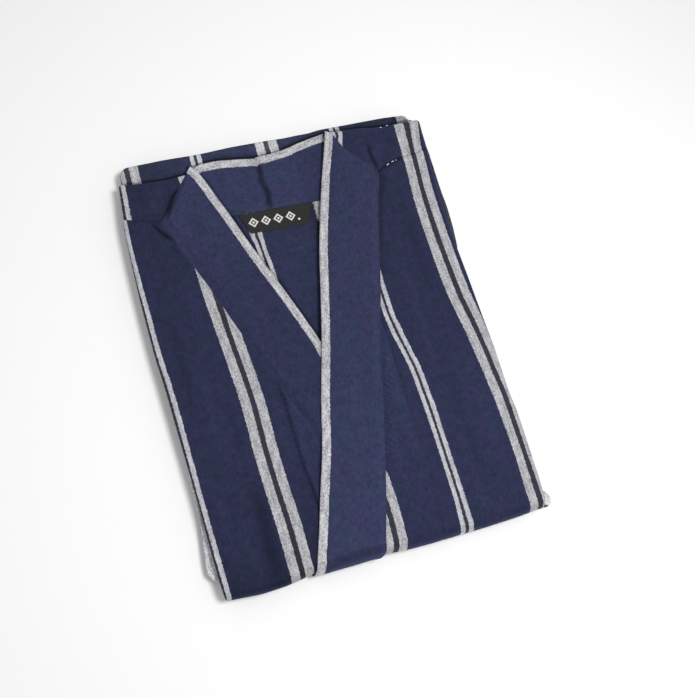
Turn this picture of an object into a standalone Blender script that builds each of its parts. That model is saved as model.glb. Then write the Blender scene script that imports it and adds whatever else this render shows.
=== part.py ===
"""Cotton yukata robe, folded into a flat packet: its sewn pieces as cloth walls over one folded core.

Tables are in millimetres. X runs across the packet, +Y towards the neck, +Z up from the surface it lies on.
Left and right are those of a person looking down at the packet from its bottom end.
"""

import math
from bisect import bisect_right
from collections import namedtuple

import bmesh
import bpy
from mathutils import Vector

MM = 0.001

# Driving dimensions.
CLOTH = 2.0  # one wall of puckered cotton with its loft and seam allowances
BAND = 2.7  # collar band, folded double
GAP = 0.3  # air between two pieces
LEFT_TOP = 21.0  # outer face of the left half above the floor
RIGHT_TOP = 24.0  # outer face of the right half, which overlaps the left
LEFT_COLLAR_TOP = 24.1
RIGHT_COLLAR_TOP = 27.2
BACK_TOP = 17.8  # inside of the back, in the neck opening
BACK_COLLAR_TOP = 18.5
LEFT_EDGE_RADIUS = 2.6  # fold of the left side edge
RIGHT_EDGE_RADIUS = 4.1
EDGE_TUCK = 2.5  # how far the side folds run back under themselves
SHOULDER_EDGE = 16.3  # height that the shoulders' edges hang down to
ROLL_CENTRE = 13.5  # height of the line that the bottom end is folded round
ROLL_END = 8.0  # height at which the cloth rolled over the bottom is tucked in
COLLAR_SEAM = 139.0  # seam of the back collar on the back
CENTRE_SEAM = -28.6  # centre back seam, across the packet
SEAM = GAP / 2
CORE_TOP = 15.5  # top of the uppermost whole layer of the core
CORE_CORNER = 8.0
CORE_ROUNDING = 1.6  # the core's upper and lower rims lie in by this much
GROOVE = 2.2  # depth of the groove between two folded layers
LAYER_BULGE = 0.5  # how far a layer's edge swells out at half its height
# The label, whose right end is folded under on a slant.
Label = namedtuple("Label", "left right_bottom right_top bottom top thickness")
LABEL = Label(-60.0, 5.0, 15.0, 117.3, 138.3, 0.9)
BOX_CENTRE = (-3.0, 2.9)  # middle of the whole packet in the frame of the tables

# The side folds: where the outermost cloth turns under, at each distance along the packet.
SideFold = namedtuple("SideFold", "y left right")
SIDE_FOLDS = (
    SideFold(-215, -161.0, 154.6),
    SideFold(-180, -163.4, 155.4),
    SideFold(-125, -164.3, 156.0),
    SideFold(-94, -165.5, 154.7),
    SideFold(-62, -166.8, 153.6),
    SideFold(-20, -168.5, 152.2),
    SideFold(20, -170.2, 150.8),
    SideFold(60, -170.7, 149.4),
    SideFold(90, -170.5, 149.6),
    SideFold(135, -169.2, 150.6),
    SideFold(160, -167.0, 152.5),
    SideFold(190, -164.8, 152.6),
    SideFold(210, -164.0, 152.0),
)

# Where the cloth starts to roll over the bottom end, at each place across the packet.
BottomFold = namedtuple("BottomFold", "x y")
BOTTOM_FOLD = (
    BottomFold(-165, -199.2),
    BottomFold(-145, -200.9),
    BottomFold(-125, -202.4),
    BottomFold(-110, -201.8),
    BottomFold(-90, -199.2),
    BottomFold(-75, -197.0),
    BottomFold(-30, -196.9),
    BottomFold(-5, -200.6),
    BottomFold(12, -201.4),
    BottomFold(45, -202.4),
    BottomFold(90, -202.8),
    BottomFold(125, -202.4),
    BottomFold(160, -201.2),
)

# Inner edges of the two fronts: under the collar at the top, on the overlap's seam below its tip.
FrontEdge = namedtuple("FrontEdge", "y x")
LEFT_FRONT_EDGE = (
    FrontEdge(-215, -57.5),
    FrontEdge(-141, -59.8),
    FrontEdge(-112, -62.8),
    FrontEdge(-60, -63.6),
    FrontEdge(-34, -65.4),
    FrontEdge(0, -75.0),
    FrontEdge(47, -91.6),
    FrontEdge(92, -107.0),
    FrontEdge(150, -126.0),
)
RIGHT_FRONT_EDGE = (
    FrontEdge(-215, 43.0),
    FrontEdge(-176, 46.9),
    FrontEdge(-143, 50.0),
    FrontEdge(-84, 49.1),
    FrontEdge(-33, 48.8),
    FrontEdge(5, 47.5),
    FrontEdge(42, 50.5),
    FrontEdge(72, 58.0),
    FrontEdge(124, 73.0),
    FrontEdge(158, 84.0),
)

# Inner edges of the overlap panels, hidden under the collars.
LEFT_OVERLAP_EDGE = (
    FrontEdge(-215, -42.0),
    FrontEdge(-93, -40.0),
    FrontEdge(-66, -46.0),
    FrontEdge(-33, -58.0),
)
RIGHT_OVERLAP_EDGE = (
    FrontEdge(-215, -25.0),
    FrontEdge(-180, -14.0),
    FrontEdge(-118, 2.6),
    FrontEdge(-73, 15.7),
    FrontEdge(-26, 28.0),
    FrontEdge(6, 38.2),
)
# Shoulder seams, and the folds above them where the back comes over.
ShoulderLine = namedtuple("ShoulderLine", "x seam fold")
LEFT_SHOULDER_LINE = (
    ShoulderLine(-165, 152.4, 188.9),
    ShoulderLine(-140, 146.5, 187.2),
    ShoulderLine(-125, 143.5, 187.0),
    ShoulderLine(-99, 143.0, 188.7),
)
RIGHT_SHOULDER_LINE = (
    ShoulderLine(50, 154.0, 208.9),
    ShoulderLine(86, 155.0, 208.2),
    ShoulderLine(100, 161.0, 206.6),
    ShoulderLine(118, 166.5, 206.0),
    ShoulderLine(133, 169.0, 206.2),
    ShoulderLine(153, 181.0, 203.5),
)

# What differs between the two halves of the robe.
Half = namedtuple(
    "Half",
    "outward top edge_radius middle front_edge shoulder_line neck_seam_x neck_fold_x"
    " overlap_edge overlap_rows overlap_columns",
)
HALVES = {
    "left": Half(
        -1, LEFT_TOP, LEFT_EDGE_RADIUS, -100.0, LEFT_FRONT_EDGE, LEFT_SHOULDER_LINE, -124.0, -96.0,
        LEFT_OVERLAP_EDGE, 14.8, 3,
    ),
    "right": Half(
        1, RIGHT_TOP, RIGHT_EDGE_RADIUS, 100.0, RIGHT_FRONT_EDGE, RIGHT_SHOULDER_LINE, 84.0, 48.0,
        RIGHT_OVERLAP_EDGE, 16.6, 6,
    ),
}

# The panels' grids.
FRONT_COLUMNS = 15
FRONT_ROWS = 25
ROLL_ROWS = 5
FOLD_COLUMNS = 6
SHOULDER_ROWS = 10
TURN_CELLS = 4
FOLD_SHARE = FOLD_COLUMNS / FRONT_COLUMNS
TUCK_SHARE = 1 / FOLD_COLUMNS

# Collar bands: a line for each section across the band, at a row of its grid, from the lower end to the neck.
# The outer edge is sewn to the front, the inner edge is folded, and sags by `drop`.
BandSection = namedtuple("BandSection", "row outer_x outer_y inner_x inner_y drop")
LEFT_COLLAR = (
    BandSection(0, -45.0, -104.0, -9.0, -98.0, 0.0),
    BandSection(2, -48.8, -81.5, -13.0, -66.0, 0.0),
    BandSection(4, -59.7, -51.8, -13.5, -34.5, 0.0),
    BandSection(7, -76.6, -18.4, -18.0, -8.5, 0.0),
    BandSection(10, -89.6, 23.0, -33.3, 42.0, 0.5),
    BandSection(13, -106.2, 69.8, -51.6, 90.0, 1.0),
    BandSection(15, -115.0, 92.0, -59.8, 112.5, 1.3),
    BandSection(17, -126.4, 123.0, -70.1, 142.0, 1.5),
    BandSection(19, -133.1, 142.9, -77.0, 160.0, 1.7),
    BandSection(21, -123.1, 156.6, -81.5, 172.0, 1.2),
    BandSection(23, -108.6, 176.5, -87.8, 186.5, 0.4),
    BandSection(24, -100.0, 188.5, -94.0, 195.0, 0.1),
)
RIGHT_COLLAR = (
    BandSection(0, -19.5, -228.0, -82.5, -219.5, 3.0),
    BandSection(9, -12.6, -199.5, -76.5, -197.0, 3.0),
    BandSection(12, -6.5, -177.0, -68.0, -172.0, 2.8),
    BandSection(15, -0.4, -156.0, -58.0, -141.0, 2.0),
    BandSection(19, 10.4, -120.5, -45.8, -103.6, 0.0),
    BandSection(23, 22.8, -76.0, -33.8, -58.7, 0.0),
    BandSection(28, 39.5, -16.0, -17.2, -3.2, 0.0),
    BandSection(32, 55.5, 34.0, -4.3, 45.1, 0.8),
    BandSection(35, 66.5, 74.0, 6.2, 84.9, 1.7),
    BandSection(39, 80.9, 124.3, 22.4, 135.7, 2.4),
    BandSection(41, 90.4, 154.0, 29.5, 156.5, 2.8),
    BandSection(43, 76.0, 173.0, 36.5, 176.0, 2.2),
    BandSection(45, 62.0, 189.0, 42.5, 193.0, 0.8),
    BandSection(46, 55.5, 203.5, 47.3, 208.0, 0.1),
)

# Top edge of the back collar, across the neck.
NeckEdge = namedtuple("NeckEdge", "x y")
NECK_EDGE = (
    NeckEdge(-90, 196.0),
    NeckEdge(-83.6, 198.4),
    NeckEdge(-68.5, 199.3),
    NeckEdge(-48.6, 198.0),
    NeckEdge(-28.6, 196.2),
    NeckEdge(-2, 199.0),
    NeckEdge(21, 205.0),
    NeckEdge(50, 211.0),
)

# Sides of the back and the back collar, hidden under the collars in front.
BackSide = namedtuple("BackSide", "y left right")
BACK_SIDES = (
    BackSide(-22, -36.0, -10.0),
    BackSide(10, -43.0, 0.0),
    BackSide(33, -50.0, 7.0),
    BackSide(85, -68.0, 20.0),
    BackSide(139, -92.0, 36.0),
    BackSide(210, -90.0, 50.0),
)

# Upper edge of the packet, where the lower layers show behind the shoulders.
TopEdge = namedtuple("TopEdge", "x y")
TOP_EDGE = (
    TopEdge(-162, 207.6),
    TopEdge(-140, 209.5),
    TopEdge(-90, 210.6),
    TopEdge(-52, 212.6),
    TopEdge(14, 214.2),
    TopEdge(30, 214.9),
    TopEdge(46, 217.0),
    TopEdge(77, 217.8),
    TopEdge(115, 219.0),
    TopEdge(131, 218.8),
    TopEdge(142, 217.4),
    TopEdge(157, 213.0),
)

# The core's folded layers, bottom to top, and how far each lies in from the outline on its four sides.
Layer = namedtuple("Layer", "low high left right top bottom_left bottom_right")
LAYERS = (
    Layer(0.0, 4.0, 7.0, 5.0, 3.0, 4.5, 7.5),
    Layer(4.0, 7.7, 5.5, 4.0, 1.5, 4.5, 7.5),
    Layer(7.7, 12.0, 4.6, 4.5, 2.5, 2.2, 2.2),
    Layer(12.0, CORE_TOP, 3.4, 3.4, 0.0, 2.2, 2.2),
)

# Layers that slip out of the stack: how far, along one side of the layer.
Slip = namedtuple("Slip", "place out")
SLIPS = {
    (2, "left"): (
        Slip(-198, 0.0),
        Slip(-191, 8.0),
        Slip(-184, 11.6),
        Slip(-168, 10.2),
        Slip(-142, 6.8),
        Slip(-97, 5.0),
        Slip(-60, 0.0),
    ),
    (3, "right"): (
        Slip(36, 0.0),
        Slip(52, 4.0),
        Slip(71, 7.8),
        Slip(105, 9.6),
        Slip(140, 9.2),
        Slip(175, 8.4),
        Slip(200, 7.0),
        Slip(215, 4.0),
    ),
    (1, "right"): (
        Slip(-216, 11.0),
        Slip(-207, 16.5),
        Slip(-198, 12.0),
        Slip(-188, 4.0),
        Slip(-172, 0.0),
    ),
    (1, "bottom"): (
        Slip(132, 0.0),
        Slip(146, 3.6),
        Slip(160, 4.6),
    ),
    (0, "right"): (
        Slip(-60, 0.0),
        Slip(40, 2.6),
        Slip(150, 0.0),
    ),
    (2, "top"): (
        Slip(-120, 0.0),
        Slip(10, 1.8),
        Slip(130, 0.0),
    ),
}

# Where the core's top rises from the height of the left half to that of the right half.
Rise = namedtuple("Rise", "y start end")
RISE = (
    Rise(-215, -39.0, -27.0),
    Rise(-146, -36.0, -12.0),
    Rise(-115, -20.0, 0.0),
    Rise(-98, -4.0, 6.0),
    Rise(-60, -8.0, 12.0),
    Rise(-20, -8.0, 20.0),
    Rise(42, 12.0, 40.0),
    Rise(124, 44.0, 68.0),
    Rise(200, 60.0, 78.0),
)

# Distances over which the core's top rises beside each edge and beside the neck opening.
Slope = namedtuple("Slope", "start end")
LEFT_SLOPE = Slope(8.0, 16.0)
RIGHT_SLOPE = Slope(12.0, 21.0)
SHOULDER_SLOPE = Slope(7.0, 16.0)
BOTTOM_SLOPE = Slope(0.0, 10.0)
NECK_SLOPE = Slope(15.0, 29.0)

# The packet's plain outline, for reading the tables on either side of it.
PLAIN = namedtuple("Plain", "left right bottom top")(-165.0, 155.0, -205.0, 213.0)
# Between these places, the lower layers go from the left half's reach to the right half's at the bottom end.
REACH_CHANGE = Slope(-60.0, 20.0)

# Distances in from the edges at which the core's top has its grid lines.
SIDE_LINES = (0, 4, 8, 13, 20)
BOTTOM_LINES = (0, 4, 9, 16)
TOP_LINES = (0, 5, 10, 14, 18, 23, 28, 34)
CORE_COLUMNS = 30
CORE_ROWS = 34

NAVY = (0.026, 0.030, 0.073, 1.0)
COLLAR_NAVY = (0.035, 0.041, 0.092, 1.0)
BLACK = (0.012, 0.012, 0.014, 1.0)
COTTON_ROUGHNESS = 0.9


def read(table, key, column):
    """Value of a table's column at a key: a cubic through the rows that never overshoots them."""
    keys = [row[0] for row in table]
    values = [getattr(row, column) for row in table]
    if key <= keys[0]:
        return values[0]
    if key >= keys[-1]:
        return values[-1]
    first = bisect_right(keys, key) - 1
    rises = [(values[i + 1] - values[i]) / (keys[i + 1] - keys[i]) for i in range(len(keys) - 1)]

    def slope(i):
        before = rises[max(i - 1, 0)]
        after = rises[min(i, len(rises) - 1)]
        return 2 * before * after / (before + after) if before * after > 0 else 0.0

    step = keys[first + 1] - keys[first]
    t = (key - keys[first]) / step
    bend_start = (1 - t) ** 2 * t * step * slope(first)
    bend_end = (t - 1) * t * t * step * slope(first + 1)
    ease = t * t * (3 - 2 * t)
    return values[first] + (values[first + 1] - values[first]) * ease + bend_start + bend_end


def between(start, end, share):
    return start + (end - start) * share


def eased(value, start, end):
    """0 up to start, 1 from end, with a smooth slope between."""
    share = min(max((value - start) / (end - start), 0.0), 1.0)
    return share * share * (3 - 2 * share)


def laid(x, y, depth, top):
    """A point on a sheet whose outer face is `top` above the floor, rolled over the packet's bottom end."""
    start = read(BOTTOM_FOLD, x, "y")
    if y >= start:
        return Vector((x, y, top - depth))
    radius = top - ROLL_CENTRE
    angle = (start - y) / radius
    arm = radius - depth
    return Vector((x, start - arm * math.sin(angle), ROLL_CENTRE + arm * math.cos(angle)))


def panel_y(row, x, side):
    """Distance along a half at a row of its front's grid: round the roll, then up to the shoulder seam."""
    half = HALVES[side]
    start = read(BOTTOM_FOLD, x, "y")
    if row < ROLL_ROWS:
        radius = half.top - ROLL_CENTRE
        turn = math.acos((ROLL_END - ROLL_CENTRE) / radius)
        return start - radius * turn * (1 - row / ROLL_ROWS)
    seam = read(half.shoulder_line, x, "seam") - SEAM
    return between(start, seam, (row - ROLL_ROWS) / (FRONT_ROWS - ROLL_ROWS))


def side_fold(share, edge, outward, radius):
    """(x, depth) round a folded side edge, from its tucked end at share 0 to the flat at share 1."""
    centre = edge - outward * radius
    if share < TUCK_SHARE:
        return centre - outward * EDGE_TUCK * (1 - share / TUCK_SHARE), 2 * radius
    angle = math.pi * (1 - share) / (1 - TUCK_SHARE)
    return centre + outward * radius * math.sin(angle), radius * (1 - math.cos(angle))


def turned_down(x_past, y_past, radius):
    """(x, y, drop) of cloth that runs past where its two edges turn down; a corner has one round for both."""
    reach = max(x_past, y_past)
    if reach <= 0:
        return 0.0, 0.0, 0.0
    across, along = max(x_past, 0.0), max(y_past, 0.0)
    turn = math.pi / 4 * (along / across if across >= along else 2 - across / along)
    arc = min(reach / radius, math.pi / 2)
    out = radius * math.sin(arc)
    drop = radius * (1 - math.cos(arc)) + max(reach - radius * math.pi / 2, 0.0)
    return out * math.cos(turn), out * math.sin(turn), drop


def material(name, colour):
    """Matt cloth of one colour."""
    made = bpy.data.materials.new(name)
    made.use_nodes = True
    shader = made.node_tree.nodes["Principled BSDF"]
    shader.inputs["Base Color"].default_value = colour
    shader.inputs["Roughness"].default_value = COTTON_ROUGHNESS
    shader.inputs["Metallic"].default_value = 0.0
    made.diffuse_color = colour
    return made


def finished(name, shape, colour, collection):
    """The shape, which is in millimetres round the tables' origin, as an object of its own in metres."""
    for vertex in shape.verts:
        vertex.co.x -= BOX_CENTRE[0]
        vertex.co.y -= BOX_CENTRE[1]
    bmesh.ops.scale(shape, vec=(MM, MM, MM), verts=shape.verts)
    mesh = bpy.data.meshes.new(name)
    shape.to_mesh(mesh)
    shape.free()
    mesh.shade_smooth()
    mesh.set_sharp_from_angle(angle=math.radians(40))
    mesh.materials.append(material(name, colour))
    made = bpy.data.objects.new(name, mesh)
    collection.objects.link(made)
    return made


def cloth_wall(name, columns, rows, place, thickness, colour, collection):
    """A sheet of columns by rows cells whose outer face follows place(u, v), thickened downwards."""
    shape = bmesh.new()
    bmesh.ops.create_grid(shape, x_segments=columns, y_segments=rows, size=0.5)
    for vertex in shape.verts:
        vertex.co = place(vertex.co.x + 0.5, vertex.co.y + 0.5)
    made = finished(name, shape, colour, collection)
    wall = made.modifiers.new("Cloth thickness", "SOLIDIFY")
    wall.thickness = thickness * MM
    wall.offset = -1
    wall.use_even_offset = True
    return made


def front(side, collection):
    """A front panel, from the shoulder seam to the roll, folded under along its side edge."""
    half = HALVES[side]
    outward = half.outward

    def place(u, v):
        from_side = u if outward < 0 else 1 - u
        row = v * FRONT_ROWS
        y = panel_y(row, half.middle, side)
        fold = read(SIDE_FOLDS, y, side) - outward * half.edge_radius
        if from_side < FOLD_SHARE:
            edge = fold + outward * half.edge_radius
            x, depth = side_fold(from_side / FOLD_SHARE, edge, outward, half.edge_radius)
            y = panel_y(row, fold, side)
        else:
            flat = (from_side - FOLD_SHARE) / (1 - FOLD_SHARE)
            x, depth = between(fold, read(half.front_edge, y, "x"), flat), 0.0
            y = panel_y(row, x, side)
        return laid(x, y, depth, half.top)

    return cloth_wall(f"{side}_front", FRONT_COLUMNS, FRONT_ROWS, place, CLOTH, NAVY, collection)


def overlap(side, collection):
    """The tapered overlap panel between a front and its collar; its rows match the front's."""
    half = HALVES[side]
    rows = math.ceil(half.overlap_rows)

    def place(u, v):
        row = min(v * rows, half.overlap_rows)
        y = panel_y(row, half.middle, side)
        seam = read(half.front_edge, y, "x") - half.outward * GAP
        hidden = read(half.overlap_edge, y, "x")
        from_seam = u if half.outward < 0 else 1 - u
        x = between(seam, hidden, from_seam)
        return laid(x, panel_y(row, x, side), 0.0, half.top)

    return cloth_wall(f"{side}_overlap", half.overlap_columns, rows, place, CLOTH, NAVY, collection)


def shoulder(side, collection):
    """The back's shoulder, brought over the fold at the top and sewn to the front."""
    half = HALVES[side]
    outward = half.outward
    radius = half.edge_radius
    line = half.shoulder_line
    turn_length = radius * math.pi / 2 + half.top - SHOULDER_EDGE - radius
    columns = FRONT_COLUMNS - FOLD_COLUMNS + TURN_CELLS
    side_share = TURN_CELLS / columns
    fold_share = TURN_CELLS / SHOULDER_ROWS

    def place(u, v):
        from_side = u if outward < 0 else 1 - u
        x_past = turn_length * (1 - from_side / side_share)
        y_past = turn_length * (1 - (1 - v) / fold_share)
        flat_u = max((from_side - side_share) / (1 - side_share), 0.0)
        flat_v = min(v / (1 - fold_share), 1.0)
        y = between(read(line, half.middle, "seam"), read(line, half.middle, "fold"), flat_v)
        edge = read(SIDE_FOLDS, y, side) - outward * radius
        x = between(edge, between(half.neck_seam_x, half.neck_fold_x, flat_v), flat_u)
        y = between(read(line, x, "seam") + 2 * SEAM, read(line, x, "fold") - radius, flat_v)
        out_x, out_y, drop = turned_down(x_past, y_past, radius)
        return Vector((x + outward * out_x, y + out_y, half.top - drop))

    return cloth_wall(f"{side}_shoulder", columns, SHOULDER_ROWS, place, CLOTH, NAVY, collection)


def collar(name, sections, top, collection):
    """A collar band through its sections, rolled over the bottom end where it reaches it."""
    rows = sections[-1].row
    outer_is_left = sections[0].outer_x < sections[0].inner_x

    def place(u, v):
        inward = u if outer_is_left else 1 - u
        row = v * rows
        x = between(read(sections, row, "outer_x"), read(sections, row, "inner_x"), inward)
        y = between(read(sections, row, "outer_y"), read(sections, row, "inner_y"), inward)
        return laid(x, y, 0.0, top - read(sections, row, "drop") * inward**2)

    return cloth_wall(name, 6, rows, place, BAND, COLLAR_NAVY, collection)


def back_collar(name, side, collection):
    """Half of the band behind the neck, from its seam on the back up to its folded edge."""
    right = side == "right"
    middle = CENTRE_SEAM + (SEAM if right else -SEAM)

    def place(u, v):
        side_x = read(BACK_SIDES, between(COLLAR_SEAM, read(NECK_EDGE, middle, "y"), v), side)
        x = between(middle, side_x, u) if right else between(side_x, middle, u)
        y = between(COLLAR_SEAM + SEAM, read(NECK_EDGE, x, "y"), v)
        return Vector((x, y, BACK_COLLAR_TOP))

    return cloth_wall(name, 8, 6, place, BAND, COLLAR_NAVY, collection)


def back(name, side, collection):
    """Half of the back's inside, from the collar seam down to where the fronts cover it."""
    right = side == "right"
    middle = CENTRE_SEAM + (SEAM if right else -SEAM)

    def place(u, v):
        y = between(BACK_SIDES[0].y, COLLAR_SEAM - SEAM, v)
        side_x = read(BACK_SIDES, y, side)
        x = between(middle, side_x, u) if right else between(side_x, middle, u)
        return Vector((x, y, BACK_TOP))

    return cloth_wall(name, 4, 12, place, CLOTH, NAVY, collection)


def neck_label(name, collection):
    """The woven label sewn on the back, just under the collar's seam."""
    top = BACK_TOP + GAP + LABEL.thickness

    def place(u, v):
        right = between(LABEL.right_bottom, LABEL.right_top, v)
        return Vector((between(LABEL.left, right, u), between(LABEL.bottom, LABEL.top, v), top))

    return cloth_wall(name, 4, 2, place, LABEL.thickness, BLACK, collection)


def slipped(layer, side, place):
    """How far a layer slips out of the stack at a place along one of its sides."""
    return read(SLIPS[layer, side], place, "out") if (layer, side) in SLIPS else 0.0


def layer_point(number, across, along, inset):
    """(x, y) in a layer's outline at shares of its width and length, with its corners rounded."""
    layer = LAYERS[number]
    near_x = between(PLAIN.left, PLAIN.right, across)
    near_y = between(PLAIN.bottom, PLAIN.top, along)
    left = read(SIDE_FOLDS, near_y, "left") + layer.left - slipped(number, "left", near_y) + inset
    right = read(SIDE_FOLDS, near_y, "right") - layer.right + slipped(number, "right", near_y) - inset
    upper = read(TOP_EDGE, near_x, "y") - layer.top + slipped(number, "top", near_x) - inset
    reach = between(layer.bottom_left, layer.bottom_right, eased(near_x, *REACH_CHANGE))
    lower = read(BOTTOM_FOLD, near_x, "y") - reach - slipped(number, "bottom", near_x) + inset
    x = between(left, right, across)
    y = between(lower, upper, along)
    corner_x = min(max(x, left + CORE_CORNER), right - CORE_CORNER)
    corner_y = min(max(y, lower + CORE_CORNER), upper - CORE_CORNER)
    out_x, out_y = x - corner_x, y - corner_y
    if out_x and out_y:
        pull = max(abs(out_x), abs(out_y)) / math.hypot(out_x, out_y)
        return corner_x + out_x * pull, corner_y + out_y * pull
    return x, y


def core_height(x, y):
    """Top of the core: raised under the fronts, low in the neck opening and along the edges."""
    under_left = LEFT_TOP - CLOTH - GAP
    under_right = RIGHT_TOP - CLOTH - GAP
    rise = eased(x, read(RISE, y, "start"), read(RISE, y, "end"))
    raised = between(under_left, under_right, rise) - CORE_TOP
    on_left = x < CENTRE_SEAM
    shoulder_line = LEFT_SHOULDER_LINE if on_left else RIGHT_SHOULDER_LINE
    neck_left = read(BACK_SIDES, y, "left") - x
    neck_right = x - read(BACK_SIDES, y, "right")
    away = (
        eased(x - read(SIDE_FOLDS, y, "left"), *LEFT_SLOPE),
        eased(read(SIDE_FOLDS, y, "right") - x, *RIGHT_SLOPE),
        eased(read(shoulder_line, x, "fold") - y, *SHOULDER_SLOPE),
        eased(y - read(BOTTOM_FOLD, x, "y"), *BOTTOM_SLOPE),
        eased(max(neck_left, neck_right, BACK_SIDES[0].y - y), *NECK_SLOPE),
    )
    return CORE_TOP + raised * min(away)


def spaced(count, span, near_start, near_end):
    """Shares of a span for count + 1 grid lines: set distances near its ends, evenly spread between them."""
    start = [line / span for line in near_start]
    end = [1 - line / span for line in reversed(near_end)]
    inside = count + 1 - len(start) - len(end)
    step = (end[0] - start[-1]) / (inside + 1)
    return start + [start[-1] + step * (i + 1) for i in range(inside)] + end


def folded_core(name, collection):
    """The rest of the robe, folded: one solid whose edge shows its layers, flat where it rests."""
    across = spaced(CORE_COLUMNS, PLAIN.right - PLAIN.left, SIDE_LINES, SIDE_LINES)
    along = spaced(CORE_ROWS, PLAIN.top - PLAIN.bottom, BOTTOM_LINES, TOP_LINES)
    top_layer = len(LAYERS) - 1
    shape = bmesh.new()
    bmesh.ops.create_grid(shape, x_segments=CORE_COLUMNS, y_segments=CORE_ROWS, size=0.5)
    share_x = shape.verts.layers.float.new("across")
    share_y = shape.verts.layers.float.new("along")
    for vertex in shape.verts:
        vertex[share_x] = across[round((vertex.co.x + 0.5) * CORE_COLUMNS)]
        vertex[share_y] = along[round((vertex.co.y + 0.5) * CORE_ROWS)]
        x, y = layer_point(top_layer, vertex[share_x], vertex[share_y], CORE_ROUNDING)
        vertex.co = (x, y, CORE_TOP if vertex.is_boundary else core_height(x, y))
    edge = [e for e in shape.edges if e.is_boundary]
    for number in range(top_layer, -1, -1):
        layer = LAYERS[number]
        profile = (
            (LAYER_BULGE, between(layer.low, layer.high, 0.8)),
            (0.0, between(layer.low, layer.high, 0.5)),
            (LAYER_BULGE, between(layer.low, layer.high, 0.2)),
            (CORE_ROUNDING if number == 0 else GROOVE, layer.low),
        )
        for inset, z in profile:
            grown = bmesh.ops.extrude_edge_only(shape, edges=edge)["geom"]
            edge = [item for item in grown if isinstance(item, bmesh.types.BMEdge) and item.is_boundary]
            for vertex in {vertex for item in edge for vertex in item.verts}:
                x, y = layer_point(number, vertex[share_x], vertex[share_y], inset)
                vertex.co = (x, y, z)
    bmesh.ops.triangle_fill(shape, use_beauty=True, edges=edge)
    bmesh.ops.recalc_face_normals(shape, faces=shape.faces)
    return finished(name, shape, NAVY, collection)


def main():
    for old in list(bpy.data.objects):
        bpy.data.objects.remove(old, do_unlink=True)
    yukata = bpy.data.collections.new("folded_yukata")
    bpy.context.scene.collection.children.link(yukata)
    folded_core("folded_layers", yukata)
    for side in ("left", "right"):
        front(side, yukata)
        overlap(side, yukata)
        shoulder(side, yukata)
        back(f"{side}_back", side, yukata)
        back_collar(f"back_collar_{side}", side, yukata)
    collar("left_collar", LEFT_COLLAR, LEFT_COLLAR_TOP, yukata)
    collar("right_collar", RIGHT_COLLAR, RIGHT_COLLAR_TOP, yukata)
    neck_label("neck_label", yukata)


main()
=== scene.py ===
"""Cotton yukata robe folded into a flat packet: striped cloth, seams, stitches, woven label and plain studio.

Tables are in millimetres. X runs across the packet, +Y towards the neck, +Z up from the surface it lies on.
Left and right are those of a person looking down at the packet from its bottom end.
A thread is a place across the stripe pattern, in millimetres from the middle of its wide pair of stripes.
"""

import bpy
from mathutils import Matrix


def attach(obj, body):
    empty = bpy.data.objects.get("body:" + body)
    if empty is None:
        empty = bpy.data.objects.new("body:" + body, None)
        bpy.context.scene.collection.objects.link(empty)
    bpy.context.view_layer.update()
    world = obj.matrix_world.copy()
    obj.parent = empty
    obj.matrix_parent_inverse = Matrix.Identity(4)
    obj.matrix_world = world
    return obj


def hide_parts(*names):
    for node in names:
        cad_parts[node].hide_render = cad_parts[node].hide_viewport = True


bl_info = {
    "name": "Folded Cotton Yukata",
    "version": (1, 0, 0),
    "blender": (4, 5, 0),
    "location": "3D View > Sidebar > Yukata",
    "description": "Builds a striped cotton yukata, folded into a packet, round its packed solids",
    "category": "Object",
}

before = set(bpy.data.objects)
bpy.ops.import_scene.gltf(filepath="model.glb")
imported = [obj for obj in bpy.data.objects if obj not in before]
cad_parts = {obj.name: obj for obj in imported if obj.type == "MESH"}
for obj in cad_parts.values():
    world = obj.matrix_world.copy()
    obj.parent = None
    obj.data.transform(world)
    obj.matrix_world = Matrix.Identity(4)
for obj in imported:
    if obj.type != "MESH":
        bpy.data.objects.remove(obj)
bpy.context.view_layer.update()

import math
from collections import namedtuple

import bmesh
import bpy
import numpy as np
from mathutils import Matrix, Vector

MM = 0.001
UV_NAME = "cloth"


def table(kind, *rows):
    """Rows of one kind."""
    return tuple(kind(*row) for row in rows)


def thread(place, *run):
    """A known thread, and the line that it follows over a piece."""
    return Thread(place, table(At, *run))


# Sizes that the solids are built from.
BAND = 2.7  # collar band, folded double
GAP = 0.3  # air between two pieces
EDGE_TUCK = 2.5  # how far the side folds run back under themselves
SHOULDER_EDGE = 16.3  # height that the shoulders' edges hang down to
ROLL_CENTRE = 13.5  # height of the line that the bottom end is folded round
ROLL_END = 8.0  # height at which the cloth rolled over the bottom is tucked in
BACK_TOP = 17.8  # inside of the back, in the neck opening
BACK_COLLAR_TOP = 18.5
COLLAR_SEAM = 139.0  # seam of the back collar on the back
CENTRE_SEAM = -28.6  # centre back seam, across the packet
SEAM = -0.02  # half of the gap between two pieces sewn together: below 0, as they run into each other
CLOTH_BELOW = 2.3  # from a panel's outer face down to the core
CORE_TOP = 15.5  # top of the uppermost whole layer of the core
CORE_CORNER = 8.0
TIGHT_CORNER = 5.0  # the top right corner
CORE_ROUNDING = 1.6
GROOVE = 2.2  # depth of the groove between two folded layers
PLY_GROOVE = 1.3  # depth of the groove between a layer's two plies
PLY_ROUND = ((0.7, 0.97), (0.25, 0.84), (0.0, 0.6), (0.05, 0.4), (0.35, 0.16), (0.9, 0.04))  # inset, height
Label = namedtuple("Label", "left_bottom left_top right_bottom right_top bottom top thickness")
LABEL = Label(-53.5, -60.5, 5.0, 15.0, 117.3, 138.3, 0.9)  # its ends are folded under on a slant
LABEL_TOP = BACK_TOP + GAP + LABEL.thickness
TAPE_THICKNESS = 0.6 * MM
BOX_CENTRE = (-3.0, 2.9)  # middle of the whole packet in the frame of the tables

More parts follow.
